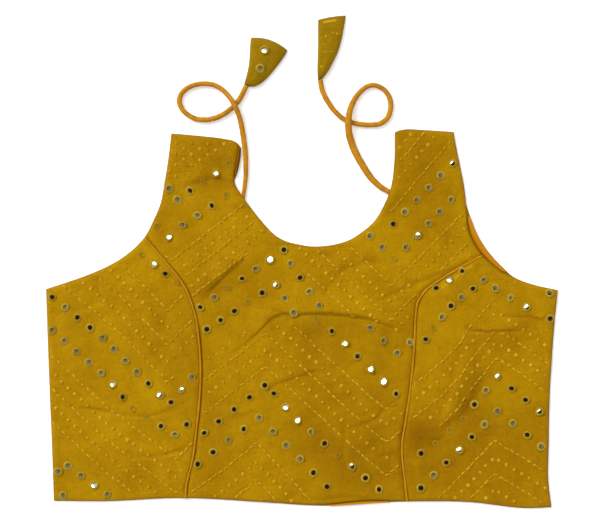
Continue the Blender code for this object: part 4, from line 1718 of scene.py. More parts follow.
@dataclass
class Tube:
    """A soft round or flattened cord along a path."""

    path: np.ndarray
    widths: np.ndarray
    heights: np.ndarray
    sides: int = 14
    seam_turn: float = 0.02
    pucker: float = 0.04
    seed: int = 3
    lowest: float = 0.02
    ripples: int = 9
    ripple_lengths: tuple[float, float] = (3.0, 15.0)
    welt: float = 0.1

    def mesh(self, name: str) -> bpy.types.Mesh:
        """Make the cord with its wrap and closed ends.

        Args:
            name: the mesh's name.

        Returns:
            The mesh.
        """
        tangent = np.gradient(self.path, axis=0)
        tangent /= np.linalg.norm(tangent, axis=1)[:, None]
        aside = np.cross(tangent, (0.0, 0.0, 1.0))
        aside /= np.linalg.norm(aside, axis=1)[:, None]
        upward = np.cross(aside, tangent)
        run = np.concatenate([[0.0], np.cumsum(np.linalg.norm(np.diff(self.path, axis=0), axis=1))])
        sides = self.sides
        angle = np.linspace(0.0, 2.0 * math.pi, sides, endpoint=False)
        noise = np.random.default_rng(self.seed)
        uneven = np.zeros((len(run), sides))
        for _ in range(self.ripples):
            wave = noise.uniform(*self.ripple_lengths)
            turn = noise.integers(0, 4)
            phase = noise.uniform(0.0, 2.0 * math.pi)
            uneven += np.sin(run[:, None] * 2.0 * math.pi / wave + turn * angle[None] + phase) / 5.0
        seam = np.cos(angle[None] - self.seam_turn * run[:, None] - 0.6)
        radius = 1.0 + self.pucker * uneven + self.welt * bell(seam - 1.0, 0.12)
        x = (0.5 * self.widths[:, None] * radius * np.cos(angle))[..., None]
        z = (0.5 * self.heights[:, None] * radius * np.sin(angle))[..., None]
        rings = self.path[:, None] + aside[:, None] * x + upward[:, None] * z
        rings[..., 2] = np.maximum(rings[..., 2], self.lowest)
        rows = len(self.path)
        faces = []
        for start in range(0, (rows - 1) * sides, sides):
            for j in range(sides):
                k = (j + 1) % sides
                faces.append((start + j, start + sides + j, start + sides + k, start + k))
        faces.append(tuple(range(sides)))
        faces.append(tuple(range((rows - 1) * sides, rows * sides))[::-1])
        mesh = make_mesh(name, rings.reshape(-1, 3), faces)
        outward(mesh)
        # The rim attribute is painted shade, strongest on the cord's sides
        carry(mesh, "rim", np.tile(np.abs(np.cos(angle)) ** 3, rows))
        around = np.tile(angle, rows) * 0.5 * self.widths.mean()
        corners = np.zeros(len(mesh.loops), int)
        mesh.loops.foreach_get("vertex_index", corners)
        wrap = np.stack([np.repeat(run, sides), around], axis=1) * MM
        mesh.uv_layers.new(name="wrap").data.foreach_set("uv", wrap[corners].ravel())
        return mesh

@dataclass
class SeamPiping:
    """The covered cord that stands in each princess seam."""

    relief: Relief
    radius: float = 1.1
    step: float = 1.6

    def one(self, name: str, line: np.ndarray, material: bpy.types.Material, seed: int) -> None:
        """Make the piping of one seam.

        Args:
            name: the node that it stands for.
            line: the seam's points.
            material: its finish.
            seed: for its unevenness.
        """
        run = run_of(line)
        at = np.linspace(0.0, run[-1], round(run[-1] / self.step))
        flat = walk(line, at)
        sag = 0.036 * np.sin(at / 9.0) + 0.024 * np.sin(at / 3.7)
        path = np.column_stack([flat, FRONT_FLOOR + self.radius - 0.1 + self.relief.main_forms(flat) + sag])
        width = 2.0 * self.radius * (1.0 + 0.08 * np.sin(at / 6.1) + 0.05 * np.sin(at / 2.3))
        tube = Tube(path, width, np.full(len(at), 1.9 * self.radius), 10, 0.01, 0.05, seed)
        piece = place_piece(tube.mesh(name + "_cord"), material)
        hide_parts(name)

    def build(self, panels: FrontPanels, palette: Palette) -> None:
        """Make both."""
        self.one("piping_left", panels.left_line, palette.piping, 5)
        self.one("piping_right", panels.right_line, palette.piping, 6)


@dataclass(frozen=True)
class TieRoute:
    """A neck tie's route over the surface, where it crosses itself and how its width changes.

    Columns of the widths: share of the length, width, height.
    """

    name: str
    tassel: str
    route: tuple[Place, ...]
    crossing: Place
    widths: tuple[tuple[float, float, float], ...]


@dataclass
class NeckTies:
    """The two rolled neck ties, with the same routes as the model's solids."""

    radius: float = 2.15
    root_radius: float = 1.3
    root_straight: float = 5.6
    root_length: float = 14.0
    lift: float = 0.03
    hump_length: float = 13.0
    hump_height: float = 4.8
    step: float = 1.5
    routes: tuple[TieRoute, ...] = (
        TieRoute(
            "dori_left",
            "latkan_left",
            (
                (-57.1, 109.6), (-56.3, 116.8), (-55.0, 125.9), (-53.9, 135.9), (-53.8, 146.5),
                (-54.0, 157.0), (-55.2, 168.0), (-57.3, 182.4), (-60.3, 195.0), (-64.4, 204.3),
                (-69.6, 212.4), (-75.9, 219.2), (-82.6, 223.4), (-91.2, 225.2), (-101.5, 224.3),
                (-110.5, 220.4), (-116.0, 214.4), (-117.3, 207.4), (-114.6, 200.8), (-108.8, 195.2),
                (-101.5, 191.6), (-92.5, 190.7), (-82.3, 192.6), (-73.0, 197.4), (-65.3, 203.6),
                (-59.9, 210.0), (-56.3, 216.6), (-53.3, 223.2),
            ),
            (-64.6, 204.6),
            (
                (0.0, 3.6, 2.6), (0.2, 4.9, 3.6), (0.35, 4.8, 3.8),
                (0.6, 4.6, 4.0), (0.85, 5.0, 3.8), (1.0, 4.6, 3.8),
            ),
        ),
        TieRoute(
            "dori_right",
            "latkan_right",
            (
                (89.2, 117.9), (83.6, 121.5), (74.6, 127.0), (66.0, 135.4), (58.8, 146.0), (52.4, 157.2),
                (47.6, 169.0), (44.9, 180.1), (44.6, 190.2), (46.2, 200.0), (50.4, 210.0), (56.4, 218.0),
                (63.2, 222.8), (70.0, 223.8), (76.6, 221.2), (82.2, 215.6), (85.0, 208.1), (84.8, 199.3),
                (81.6, 191.8), (75.6, 187.2), (67.2, 185.8), (57.6, 186.2), (48.6, 187.8), (39.8, 191.6),
                (31.8, 198.6), (24.3, 209.2), (19.4, 219.4), (17.7, 228.9),
            ),
            (45.0, 189.6),
            (
                (0.0, 4.6, 2.4), (0.14, 6.5, 3.0), (0.32, 6.2, 3.2),
                (0.46, 4.8, 3.9), (0.7, 4.9, 3.8), (1.0, 4.6, 3.8),
            ),
        ),
    )

    def path(self, tie: TieRoute) -> tuple[np.ndarray, np.ndarray]:
        """Lay a tie on the surface; its first pass humps over its second where they cross.

        Args:
            tie: the tie.

        Returns:
            Its centreline and each point's share of its length.
        """
        points = np.array(tie.route)
        run = run_of(points)
        fine = np.linspace(0.0, run[-1], 1100)
        line = np.stack([smooth(np.stack([run, column], axis=1), fine) for column in points.T], axis=1)
        length = run_of(line)[-1]
        at = np.linspace(0.0, length, round(length / self.step))
        flat = walk(line, at)
        root = np.clip((at - self.root_straight) / self.root_length, 0.0, 1.0)
        height = self.lift + self.root_radius + (self.radius - self.root_radius) * root
        away = np.hypot(*(flat - np.array(tie.crossing)).T)
        height += self.hump_height * bell(away, self.hump_length) * (at < length / 2)
        return np.column_stack([flat, height]), at / length

    def build(self, tassels: dict[str, bpy.types.Object], palette: Palette) -> None:
        """Args:
            tassels: not used.
            palette: the finishes.
        """
        for seed, tie in enumerate(self.routes):
            path, along = self.path(tie)
            table = np.array(tie.widths)
            widths = smooth(table[:, :2], along)
            heights = np.minimum(smooth(table[:, [0, 2]], along), 2.0 * path[:, 2] - 0.04)
            tube = Tube(path, widths, heights, 16, 0.035, 0.05, 20 + seed)
            piece = place_piece(tube.mesh(tie.name + "_cord"), palette.tie)
            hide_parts(tie.name)


@dataclass(frozen=True)
class TasselShape:
    """A flat cloth tassel: its sections from the tie to the wide end, which bows out."""

    sections: tuple[tuple[float, float, float, float], ...]
    bow: float
    thickness: float


@dataclass
class Tassels:
    """The two stuffed cloth tassels on the ties."""

    rim: float = 1.4
    lowest: float = 0.05
    filled: float = 0.92
    gathers: float = 0.1
    ripple: float = 0.05
    columns: int = 22
    rows: int = 30
    shapes: dict[str, TasselShape] = field(
        default_factory=lambda: {
            "latkan_left": TasselShape(
                (
                    (-55.3, 224.6, -51.0, 222.4), (-54.0, 230.0, -44.4, 222.8),
                    (-52.2, 236.4, -37.4, 226.8), (-50.8, 244.0, -30.0, 234.2),
                    (-50.0, 252.5, -22.2, 244.0), (-49.6, 261.5, -16.4, 252.2),
                    (-48.8, 269.4, -13.8, 257.4),
                ),
                4.0,
                5.1,
            ),
            "latkan_right": TasselShape(
                (
                    (15.5, 228.6, 19.7, 229.9), (14.9, 236.5, 25.2, 236.9), (15.0, 244.0, 29.4, 244.6),
                    (15.3, 254.0, 34.2, 254.6), (15.5, 265.0, 37.6, 265.5), (15.5, 276.5, 39.9, 276.5),
                    (15.5, 286.6, 42.2, 290.8),
                ),
                0.8,
                5.5,
            ),
        }
    )

    def __post_init__(self) -> None:
        """Keep the upper faces for what is sewn on them."""
        self.tops: dict[str, BVHTree] = {}

    def skin(self, shape: TasselShape, top: bool) -> np.ndarray:
        """Lay out one face of a tassel.

        Args:
            shape: the tassel.
            top: the upper face, or else the one on the floor.

        Returns:
            Its grid of points.
        """
        sections = np.array(shape.sections)
        knots = np.linspace(0.0, 1.0, len(sections))
        grid = np.zeros((self.rows + 1, self.columns + 1, 3))
        u = np.linspace(0.0, 1.0, self.columns + 1)
        u = 0.5 - 0.5 * np.cos(u * math.pi) * (0.35 + 0.65 * np.abs(np.cos(u * math.pi)) ** 0.5)
        u = (u - u[0]) / (u[-1] - u[0])
        for i, v in enumerate(np.linspace(0.0, 1.0, self.rows + 1) ** 0.9):
            edge = [smooth(np.stack([knots, column], axis=1), v) for column in sections.T]
            out = np.array([edge[1] - edge[3], edge[2] - edge[0]])
            out = out / np.hypot(*out)
            side = (2.0 * u - 1.0) ** 2
            puff = np.clip(1.0 - side**2, 0.0, 1.0) ** 0.5
            closing = min(1.0, 7.0 * (1.0 - v)) ** 0.5 * min(1.0, 0.55 + 2.2 * v)
            gathers = self.gathers * np.sin(u * 11.0 + 2.0) * (1.0 - v)
            folds = 1.0 + gathers + self.ripple * np.sin(u * 7.0 + 9.0 * v)
            bow = shape.bow * (1.0 - side) * v**3
            grid[i, :, 0] = edge[0] + (edge[2] - edge[0]) * u + out[0] * bow
            grid[i, :, 1] = edge[1] + (edge[3] - edge[1]) * u + out[1] * bow
            if top:
                grid[i, :, 2] = self.rim + (shape.thickness - self.rim) * puff * closing * folds * self.filled
            else:
                grid[i, :, 2] = self.rim - (self.rim - self.lowest) * puff**0.5 * closing
        return grid

    def build(self, palette: Palette) -> dict[str, bpy.types.Object]:
        """Args:
            palette: the finishes.

        Returns:
            The tassels by their nodes' names.
        """
        made = {}
        for name, shape in self.shapes.items():
            upper, lower = self.skin(shape, True), self.skin(shape, False)
            for edge in (np.s_[:, 0], np.s_[:, -1], np.s_[0], np.s_[-1]):
                lower[edge] = upper[edge] = 0.5 * (upper[edge] + lower[edge])
            rows, columns = upper.shape[:2]
            faces = grid_faces(rows, columns)
            tops = [tuple(point) for point in upper.reshape(-1, 3)]
            self.tops[name] = BVHTree.FromPolygons(tops, faces)
            under = [tuple(k + rows * columns for k in face[::-1]) for face in faces]
            points = np.concatenate([upper.reshape(-1, 3), lower.reshape(-1, 3)])
            mesh = make_mesh(name + "_cloth", points, faces + under)
            u = np.abs(np.linspace(-1.0, 1.0, columns))[None, :]
            v = np.linspace(0.0, 1.0, rows)[:, None]
            # Painted shade along the sides and the wide end
            rim = np.maximum(u**10, v**24) + 0.0 * v
            carry(mesh, "rim", np.tile(0.9 * rim.ravel(), 2))
            # Painted shade near the narrow end by the tie and towards one side
            shade = 0.45 * np.clip(1.0 - 6.0 * v, 0.0, 1.0) + 0.25 * np.clip(u - 0.62, 0.0, 1.0)
            carry(mesh, "shade", np.tile(shade.ravel(), 2))
            outward(mesh, 1e-6)
            piece = place_piece(mesh, palette.tassel)
            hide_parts(name)
            made[name] = piece
        return made


@dataclass
class Spots:
    """Places where small sewn things sit, each with its directions, size and tone."""

    points: list[Any] = field(default_factory=list)
    facing: list[Any] = field(default_factory=list)
    along: list[Any] = field(default_factory=list)
    size: list[Any] = field(default_factory=list)
    tint: list[float] = field(default_factory=list)

    def put(self, point: Any, facing: Any, along: Any, size: Any, tint: float) -> None:
        """Add one place.

        Args:
            point: where it is, in millimetres.
            facing: the way it faces.
            along: its own X direction.
            size: its size on each axis.
            tint: its tone, from 0 to 1.
        """
        self.points.append(tuple(np.asarray(point) * MM))
        self.facing.append(tuple(facing))
        self.along.append(tuple(along))
        self.size.append(tuple(size))
        self.tint.append(tint)


class Sewn:
    """Geometry Nodes that put one small shape on every place of a points mesh."""

    def __init__(self, name: str, sizes: dict[str, float]) -> None:
        """Start a tree with named inputs.

        Args:
            name: the tree's name.
            sizes: each input's name and value; a whole number is a count.
        """
        self.tree = bpy.data.node_groups.new(name, "GeometryNodeTree")
        self.graph = Graph(self.tree)
        face = self.tree.interface
        face.new_socket("Places", in_out="INPUT", socket_type="NodeSocketGeometry")
        for label, value in sizes.items():
            kind = "NodeSocketInt" if isinstance(value, int) else "NodeSocketFloat"
            face.new_socket(label, in_out="INPUT", socket_type=kind).default_value = value
        face.new_socket("Finish", in_out="INPUT", socket_type="NodeSocketMaterial")
        face.new_socket("Sewn", in_out="OUTPUT", socket_type="NodeSocketGeometry")
        self.inputs = self.graph.add("NodeGroupInput").outputs
        self.sizes = sizes

    def size(self, label: str) -> Value:
        """Read one of the named inputs."""
        return Value(self.graph, self.inputs[label])

    def vector(self, x: Any, y: Any, z: Any) -> Value:
        """Join three numbers into a vector."""
        return self.graph.value("ShaderNodeCombineXYZ", 0, None, {0: x, 1: y, 2: z})

    def tube(self, curve: Value, sides: int, radius: Any) -> Value:
        """Give a curve a round section."""
        sockets = {"Curve": curve, "Profile Curve": self.circle(sides, radius)}
        return self.graph.value("GeometryNodeCurveToMesh", 0, None, sockets)

    def circle(self, steps: int, radius: Any) -> Value:
        """Make a circle."""
        sockets = {"Resolution": steps, "Radius": radius}
        return self.graph.value("GeometryNodeCurvePrimitiveCircle", 0, {"mode": "RADIUS"}, sockets)

    def thread(self, ends: tuple[Value, Value], middle: Value, radius: Any, bends: int, sides: int) -> Value:
        """Make one arched thread.

        Args:
            ends: where it leaves the cloth and where it goes back in.
            middle: what it bends towards.
            radius: its radius.
            bends: steps along it.
            sides: steps around it.

        Returns:
            Its mesh.
        """
        sockets = {"Resolution": bends, "Start": ends[0], "Middle": middle, "End": ends[1]}
        curve = self.graph.value("GeometryNodeCurveQuadraticBezier", 0, None, sockets)
        return self.tube(curve, sides, radius)

    def join(self, parts: Sequence[Value]) -> Value:
        """Join pieces of geometry.

        Args:
            parts: the pieces.

        Returns:
            All of them.
        """
        joined = self.graph.add("GeometryNodeJoinGeometry")
        for part in parts:
            self.graph.feed(joined.inputs[0], part)
        return Value(self.graph, joined.outputs[0])

    def finish(self, shape: Any, smooth_faces: bool) -> None:
        """Put the shape on every place, turned and sized by the place's own values.

        Args:
            shape: the shape's geometry.
            smooth_faces: whether its faces are shaded smooth.
        """
        graph = self.graph
        carried = {}
        for name in ("along", "facing", "size"):
            settings = {"data_type": "FLOAT_VECTOR"}
            carried[name] = graph.value("GeometryNodeInputNamedAttribute", 0, settings, {"Name": name})
        turn = "FunctionNodeAlignRotationToVector"
        turned = graph.value(turn, 0, {"axis": "X"}, {"Vector": carried["along"]})
        sockets = {"Rotation": turned, "Vector": carried["facing"]}
        turned = graph.value(turn, 0, {"axis": "Z", "pivot_axis": "X"}, sockets)
        sockets = {"Points": self.inputs["Places"], "Instance": shape}
        sockets |= {"Rotation": turned, "Scale": carried["size"]}
        placed = graph.value("GeometryNodeInstanceOnPoints", 0, None, sockets)
        real = graph.value("GeometryNodeRealizeInstances", 0, None, {0: placed})
        sockets = {"Geometry": real, "Shade Smooth": smooth_faces}
        shaded = graph.value("GeometryNodeSetShadeSmooth", 0, None, sockets)
        sockets = {"Geometry": shaded, "Material": self.inputs["Finish"]}
        graph.add("NodeGroupOutput", None, {0: graph.value("GeometryNodeSetMaterial", 0, None, sockets)})

    def sew(self, name: str, spots: Spots, material: bpy.types.Material, slot: str) -> bpy.types.Object:
        """Run the tree on a set of places and keep the result as a plain mesh.

        Args:
            name: the piece's name.
            spots: the places.
            material: the finish.
            slot: not used.

        Returns:
            The piece.
        """
        mesh = bpy.data.meshes.new(name + "_places")
        mesh.from_pydata(spots.points, [], [])
        for label in ("facing", "along", "size"):
            layer = mesh.attributes.new(label, "FLOAT_VECTOR", "POINT")
            layer.data.foreach_set("vector", np.array(getattr(spots, label), np.float32).ravel())
        carry(mesh, "tint", np.array(spots.tint))
        holder = bpy.data.objects.new(name + "_places", mesh)
        bpy.context.scene.collection.objects.link(holder)
        sewing = holder.modifiers.new("Sewn", "NODES")
        sewing.node_group = self.tree
        for item in self.tree.interface.items_tree:
            if item.in_out == "INPUT" and item.name in self.sizes:
                sewing[item.identifier] = self.sizes[item.name]
            elif item.in_out == "INPUT" and item.name == "Finish":
                sewing[item.identifier] = material
        depsgraph = bpy.context.evaluated_depsgraph_get()
        result = bpy.data.meshes.new_from_object(holder.evaluated_get(depsgraph))
        result.name = name
        bpy.data.objects.remove(holder, do_unlink=True)
        bpy.data.meshes.remove(mesh)
        return place_piece(result, material)


class MirrorDiscs(Sewn):
    """Thin round mirrors."""

    def __init__(self, radius: float, thickness: float) -> None:
        """Make the tree of a mirror's disc.

        Args:
            radius: its radius in millimetres.
            thickness: its thickness in millimetres.
        """
        sizes = {"Radius": radius * MM, "Thickness": thickness * MM, "Dome": 0.09 * MM, "Sides": 16}
        super().__init__("mirror discs", sizes)
        graph = self.graph
        disc_radius = self.size("Radius")
        sockets = {"Vertices": self.size("Sides"), "Radius": disc_radius, "Depth": self.size("Thickness")}
        sockets["Fill Segments"] = 3
        disc = graph.value("GeometryNodeMeshCylinder", 0, {"fill_type": "TRIANGLE_FAN"}, sockets)
        x, y, _ = graph.split(graph.value("GeometryNodeInputPosition"))
        rise = self.size("Dome") * (1.0 - (x * x + y * y) / (disc_radius * disc_radius))
        sockets = {"Geometry": disc, "Offset": self.vector(0.0, 0.0, rise)}
        self.finish(graph.value("GeometryNodeSetPosition", 0, None, sockets), False)


class ThreadRings(Sewn):
    """Rings of slanted threads that hold a mirror's edge down."""

    def __init__(self, inner: float, outer: float, rise: float, thread: float) -> None:
        """Make the tree of one ring, in millimetres.

        Args:
            inner: the ring's inner radius.
            outer: its outer radius.
            rise: how high the threads arch.
            thread: a thread's thickness.
        """
        sizes = {"Inner radius": inner * MM, "Outer radius": outer * MM, "Rise": rise * MM}
        sizes |= {"Thread radius": 0.5 * thread * MM, "Threads": 22, "Seed": 4}
        super().__init__("mirror rings", sizes)
        graph = self.graph
        near, far = self.size("Inner radius"), self.size("Outer radius")
        ends = self.vector(near, 0.0, 0.55 * MM), self.vector(far, 0.9 * MM, -0.1 * MM)
        middle = self.vector((near + far) * 0.52, 0.25 * MM, self.size("Rise"))
        strand = self.thread(ends, middle, self.size("Thread radius"), 3, 4)
        count = self.size("Threads")
        seats = graph.value("GeometryNodePoints", 0, None, {"Count": count})
        turn = self.vector(0.0, 0.0, graph.value("GeometryNodeInputIndex") * (2.0 * math.pi) / count)
        sockets = {2: 0.9, 3: 1.1, "Seed": self.size("Seed")}
        uneven = graph.value("FunctionNodeRandomValue", 1, {"data_type": "FLOAT"}, sockets)
        scale = self.vector(1.0, uneven, uneven)
        sockets = {"Points": seats, "Instance": strand, "Rotation": turn, "Scale": scale}
        threads = graph.value("GeometryNodeInstanceOnPoints", 0, None, sockets)
        band = self.tube(self.circle(18, (near + far) * 0.5), 4, (far - near) * 0.42)
        sockets = {"Geometry": band, "Translation": (0.0, 0.0, -0.1 * MM), "Scale": (1.0, 1.0, 0.75)}
        band = graph.value("GeometryNodeTransform", 0, None, sockets)
        both = self.join((threads, band))
        self.finish(graph.value("GeometryNodeRealizeInstances", 0, None, {0: both}), True)


class RunningStitches(Sewn):
    """Short stitches of two strands that lie side by side."""

    def __init__(self, length: float, strand: float, rise: float) -> None:
        """Make the tree of one stitch, in millimetres.

        Args:
            length: the stitch's length.
            strand: a strand's thickness.
            rise: how high it arches.
        """
        sizes = {"Length": length * MM, "Strand radius": 0.5 * strand * MM, "Rise": rise * MM}
        super().__init__("running stitches", sizes)
        half, radius = self.size("Length") * 0.5, self.size("Strand radius")
        strands = []
        for side in (-1.0, 1.0):
            aside = radius * (0.8 * side)
            ends = self.vector(half * -1.0, aside, -0.15 * MM), self.vector(half, aside, -0.15 * MM)
            middle = self.vector(0.12 * side * MM, aside * 1.2, self.size("Rise"))
            strands.append(self.thread(ends, middle, radius, 5, 5))
        self.finish(self.join(strands), True)


class SatinDots(Sewn):
    """Small round dots of parallel threads."""

    def __init__(self, radius: float, rise: float) -> None:
        """Make the tree of one dot, in millimetres.

        Args:
            radius: the dot's radius.
            rise: how high its middle thread arches.
        """
        super().__init__("satin dots", {"Radius": radius * MM, "Rise": rise * MM})
        size = self.size("Radius")
        strands = []
        for place in (-0.76, -0.38, 0.0, 0.38, 0.76):
            reach = math.sqrt(1.0 - place * place)
            start = self.vector(size * -reach, size * place, -0.15 * MM)
            end = self.vector(size * reach, size * (place - 0.06), -0.15 * MM)
            middle = self.vector(0.0, size * (place * 1.05), self.size("Rise") * (0.5 + 0.5 * reach))
            strands.append(self.thread((start, end), middle, size * 0.24, 4, 4))
        self.finish(self.join(strands), True)


class Glint(Enum):
    """What a mirror shows from above: how its tilt picks the room that it reflects."""

    DARK = "d"
    GREY = "g"
    BRIGHT = "b"
    BIG = "B"
    HIDDEN = "h"


@dataclass(frozen=True)
class Arm:
    """A row of mirrors, evenly spaced along a bent line, each with its glint."""

    line: tuple[Place, ...]
    glints: str


ARMS = (
    Arm(((-126.8, 124.6), (-120.9, 112.9), (-70.0, 148.4)), "ggdhbh"),
    Arm(((-138.5, 88.9), (-128.5, 77.4), (-116.1, 88.9), (-71.9, 117.7)), "hbggdh"),
    Arm(((-152.5, 61.1), (-119.9, 34.2)), "hbdh"),
    Arm(((-238.9, 20.7), (-192.4, -16.7), (-127.0, -82.0), (-105.5, -56.1)), "dgddggggdbdbg"),
    Arm(
        ((-239.0, -10.9), (-182.3, -60.9), (-164.1, -84.9), (-120.9, -111.3), (-110.3, -101.2)),
        "gggggbdhhdgd",
    ),
    Arm(((-233.6, -146.4), (-228.4, -137.7), (-186.5, -168.4)), "gggbg"),
    Arm(((-228.9, -169.3),), "g"),
    Arm(((-97.3, 11.1), (-16.2, 66.8), (-10.5, 52.4), (16.4, 12.5)), "dghdgBdgdgg"),
    Arm(((-91.1, -10.0), (-25.3, 33.2), (-7.6, 5.9)), "dddhdbgg"),
    Arm(((14.5, -2.3), (27.0, -10.0), (90.3, -71.9)), "hdbdBBd"),
    Arm(((65.4, -9.0), (92.3, -34.0), (103.8, -22.5)), "gggg"),
    Arm(((-79.6, -98.3), (-35.4, -63.7)), "dddd"),
    Arm(((-26.8, -71.4), (-3.3, -98.0), (74.0, -163.6)), "dbbgdhbdd"),
    Arm(((-99.7, -139.2), (-41.2, -94.5), (24.1, -160.7)), "ddgdggggdd"),
    Arm(((-93.5, -109.3),), "d"),
    Arm(((87.5, 90.8), (144.6, 148.9)), "dggggb"),
    Arm(((65.4, 79.3), (88.4, 57.2)), "ggh"),
    Arm(((99.9, 68.7), (143.1, 113.9)), "gbggg"),
    Arm(((128.7, 29.4), (153.7, 45.2)), "dbd"),
    Arm(((118.7, -19.6), (141.2, 11.1), (174.3, 37.1)), "dhgdgdg"),
    Arm(((185.4, 29.4), (215.1, 11.1)), "ggb"),
    Arm(((237.9, 0.0),), "d"),
    Arm(((237.2, 24.6),), "d"),
    Arm(((165.2, -82.0), (187.3, -55.1)), "dgb"),
    Arm(((200.7, -66.6), (227.6, -88.7)), "ddb"),
    Arm(((100.9, -139.6), (114.3, -129.0)), "hd"),
    Arm(((114.0, -162.1), (187.3, -88.7)), "dgdbdgg"),
    Arm(((202.3, -100.2), (229.5, -122.3)), "gdg"),
    Arm(((154.7, -95.4), (128.7, -119.4)), "hhh"),
    Arm(((99.0, -159.7),), "h"),
)


@dataclass
class MirrorWork:
    """The sewn mirrors, each under its ring of thread."""

    arms: tuple[Arm, ...] = ARMS
    radius: float = 2.9
    inner: float = 2.5
    outer: float = 4.3
    disc_thickness: float = 0.35
    disc_lift: float = 0.36
    ring_rise: float = 1.35
    ring_thread: float = 0.75
    ring_lift: float = 0.26
    ring_tilt: float = 1.4
    grey_polar: float = math.radians(23.0)
    window_room: float = 0.25
    dark_lean: float = 0.11
    grey_lean: float = 0.9
    big_off: float = 0.13
    bright_off: float = 0.2
    bright_lean: float = 0.035
    big_size: float = 1.14
    bright_size: float = 0.93
    loop_size: tuple[float, float, float] = (0.86, 0.6, 0.55)
    tassel_mirrors: tuple[tuple[Place, Glint], ...] = (
        ((-35.9, 257.0), Glint.BRIGHT),
        ((-39.8, 239.2), Glint.GREY),
    )
    seed: int = 21

    def places(self) -> list[tuple[Place, Glint]]:
        """List every mirror on the front with its glint.

        Returns:
            Places and glints.
        """
        found = []
        for arm in self.arms:
            for (x, y), mark in zip(spaced(arm.line, len(arm.glints)), arm.glints):
                found.append(((float(x), float(y)), Glint(mark)))
        return found

    def tilt(self, point: Vector, glint: Glint, lean: Vector) -> Vector:
        """Turn a mirror so that it shows the dark, the grey or the bright part of the room.

        Args:
            point: where it sits.
            glint: what it shows.
            lean: a small sideways lean of its own.

        Returns:
            Its facing.
        """
        to_camera = (Vector(CAMERA) - point).normalized()
        if glint in (Glint.BRIGHT, Glint.BIG):
            off = self.bright_off + self.bright_lean * min(lean.length, 2.5)
            if glint is Glint.BIG:
                off = self.big_off
            shown = (Vector(WINDOW).normalized() + off * lean.normalized()).normalized()
            return (to_camera + shown).normalized()
        if glint is Glint.GREY:
            away = Vector((-to_camera.x, -to_camera.y, 0.0))
            away = (away.normalized() + self.grey_lean * lean.normalized()).normalized()
            window = Vector((WINDOW[0], WINDOW[1], 0.0)).normalized()
            if away.dot(window) > self.window_room:
                away = (away - 2.0 * away.dot(window) * window).normalized()
            shown = math.sin(self.grey_polar) * away + math.cos(self.grey_polar) * UP
            return (to_camera + shown).normalized()
        return (to_camera + UP + self.dark_lean * lean).normalized()

    def build(self, surface: BVHTree, palette: Palette, tassels: dict[str, BVHTree]) -> None:
        """Sew the mirrors on the front and on the left tassel.

        Args:
            surface: the front's upper face.
            palette: the finishes.
            tassels: the tassels' upper faces by name.
        """
        discs = MirrorDiscs(self.radius, self.disc_thickness)
        rings = ThreadRings(self.inner, self.outer, self.ring_rise, self.ring_thread)
        groups = (
            ("mirrors", "mirror_rings", self.places(), surface),
            ("latkan_left_mirrors", "latkan_left_rings", self.tassel_mirrors, tassels["latkan_left"]),
        )
        for disc_name, ring_name, places, cloth in groups:
            found = self._seated(places, cloth)
            discs.sew(disc_name, found[0], palette.mirror, "mirror")
            rings.sew(ring_name, found[1], palette.ring, "thread")

    def _seated(self, places: Sequence[tuple[Place, Glint]], surface: BVHTree) -> tuple[Spots, Spots]:
        """Seat and turn a group of mirrors and rings; a hidden mirror has only a flat ring.

        Args:
            places: where they go.
            surface: what they are sewn on.

        Returns:
            The mirrors' and the rings' spots.
        """
        chance = np.random.default_rng(self.seed)
        discs, rings = Spots(), Spots()
        for place, glint in places:
            lean = Vector((chance.normal(), chance.normal(), 0.0))
            grow = chance.uniform(0.94, 1.06)
            turn = chance.uniform(0.0, math.pi)
            tone = chance.uniform(0.0, 1.0)
            narrow = chance.uniform(0.8, 1.0)
            found = seat(surface, *place)
            if found is None:
                log.info("a mirror misses the cloth at %.1f, %.1f", *place)
                continue
            hit, normal = found
            facing = self.tilt(hit, glint, lean)
            along = Vector((math.cos(turn), math.sin(turn), 0.0))
            along = (along - facing * along.dot(facing)).normalized()
            held = (normal + UP + self.ring_tilt * facing).normalized()
            if glint is Glint.HIDDEN:
                long, broad, rise = self.loop_size
                rings.put(hit, held, along, (long * grow, broad * grow, rise), 1.0)
                continue
            wide = grow * (self.big_size if glint is Glint.BIG else 1.0)
            disc = wide * (self.bright_size if glint is Glint.BRIGHT else 1.0)
            discs.put(hit + normal * self.disc_lift, facing, along, (disc, narrow * disc, 1.0), tone)
            rings.put(hit + normal * self.ring_lift, held, along, (wide, narrow * wide, 1.0), 0.7 * tone)
        return discs, rings


class Stitch(Enum):
    """The two stitches of the rows."""

    RUNNING = "running"
    DOT = "dot"


@dataclass(frozen=True)
class Field:
    """Rows of stitches that repeat one bent guide inside a limit.

    Each row has its height above the guide and its stitch.
    """

    guide: tuple[Place, ...]
    rows: tuple[tuple[float, Stitch], ...]
    limit: tuple[Place, ...]


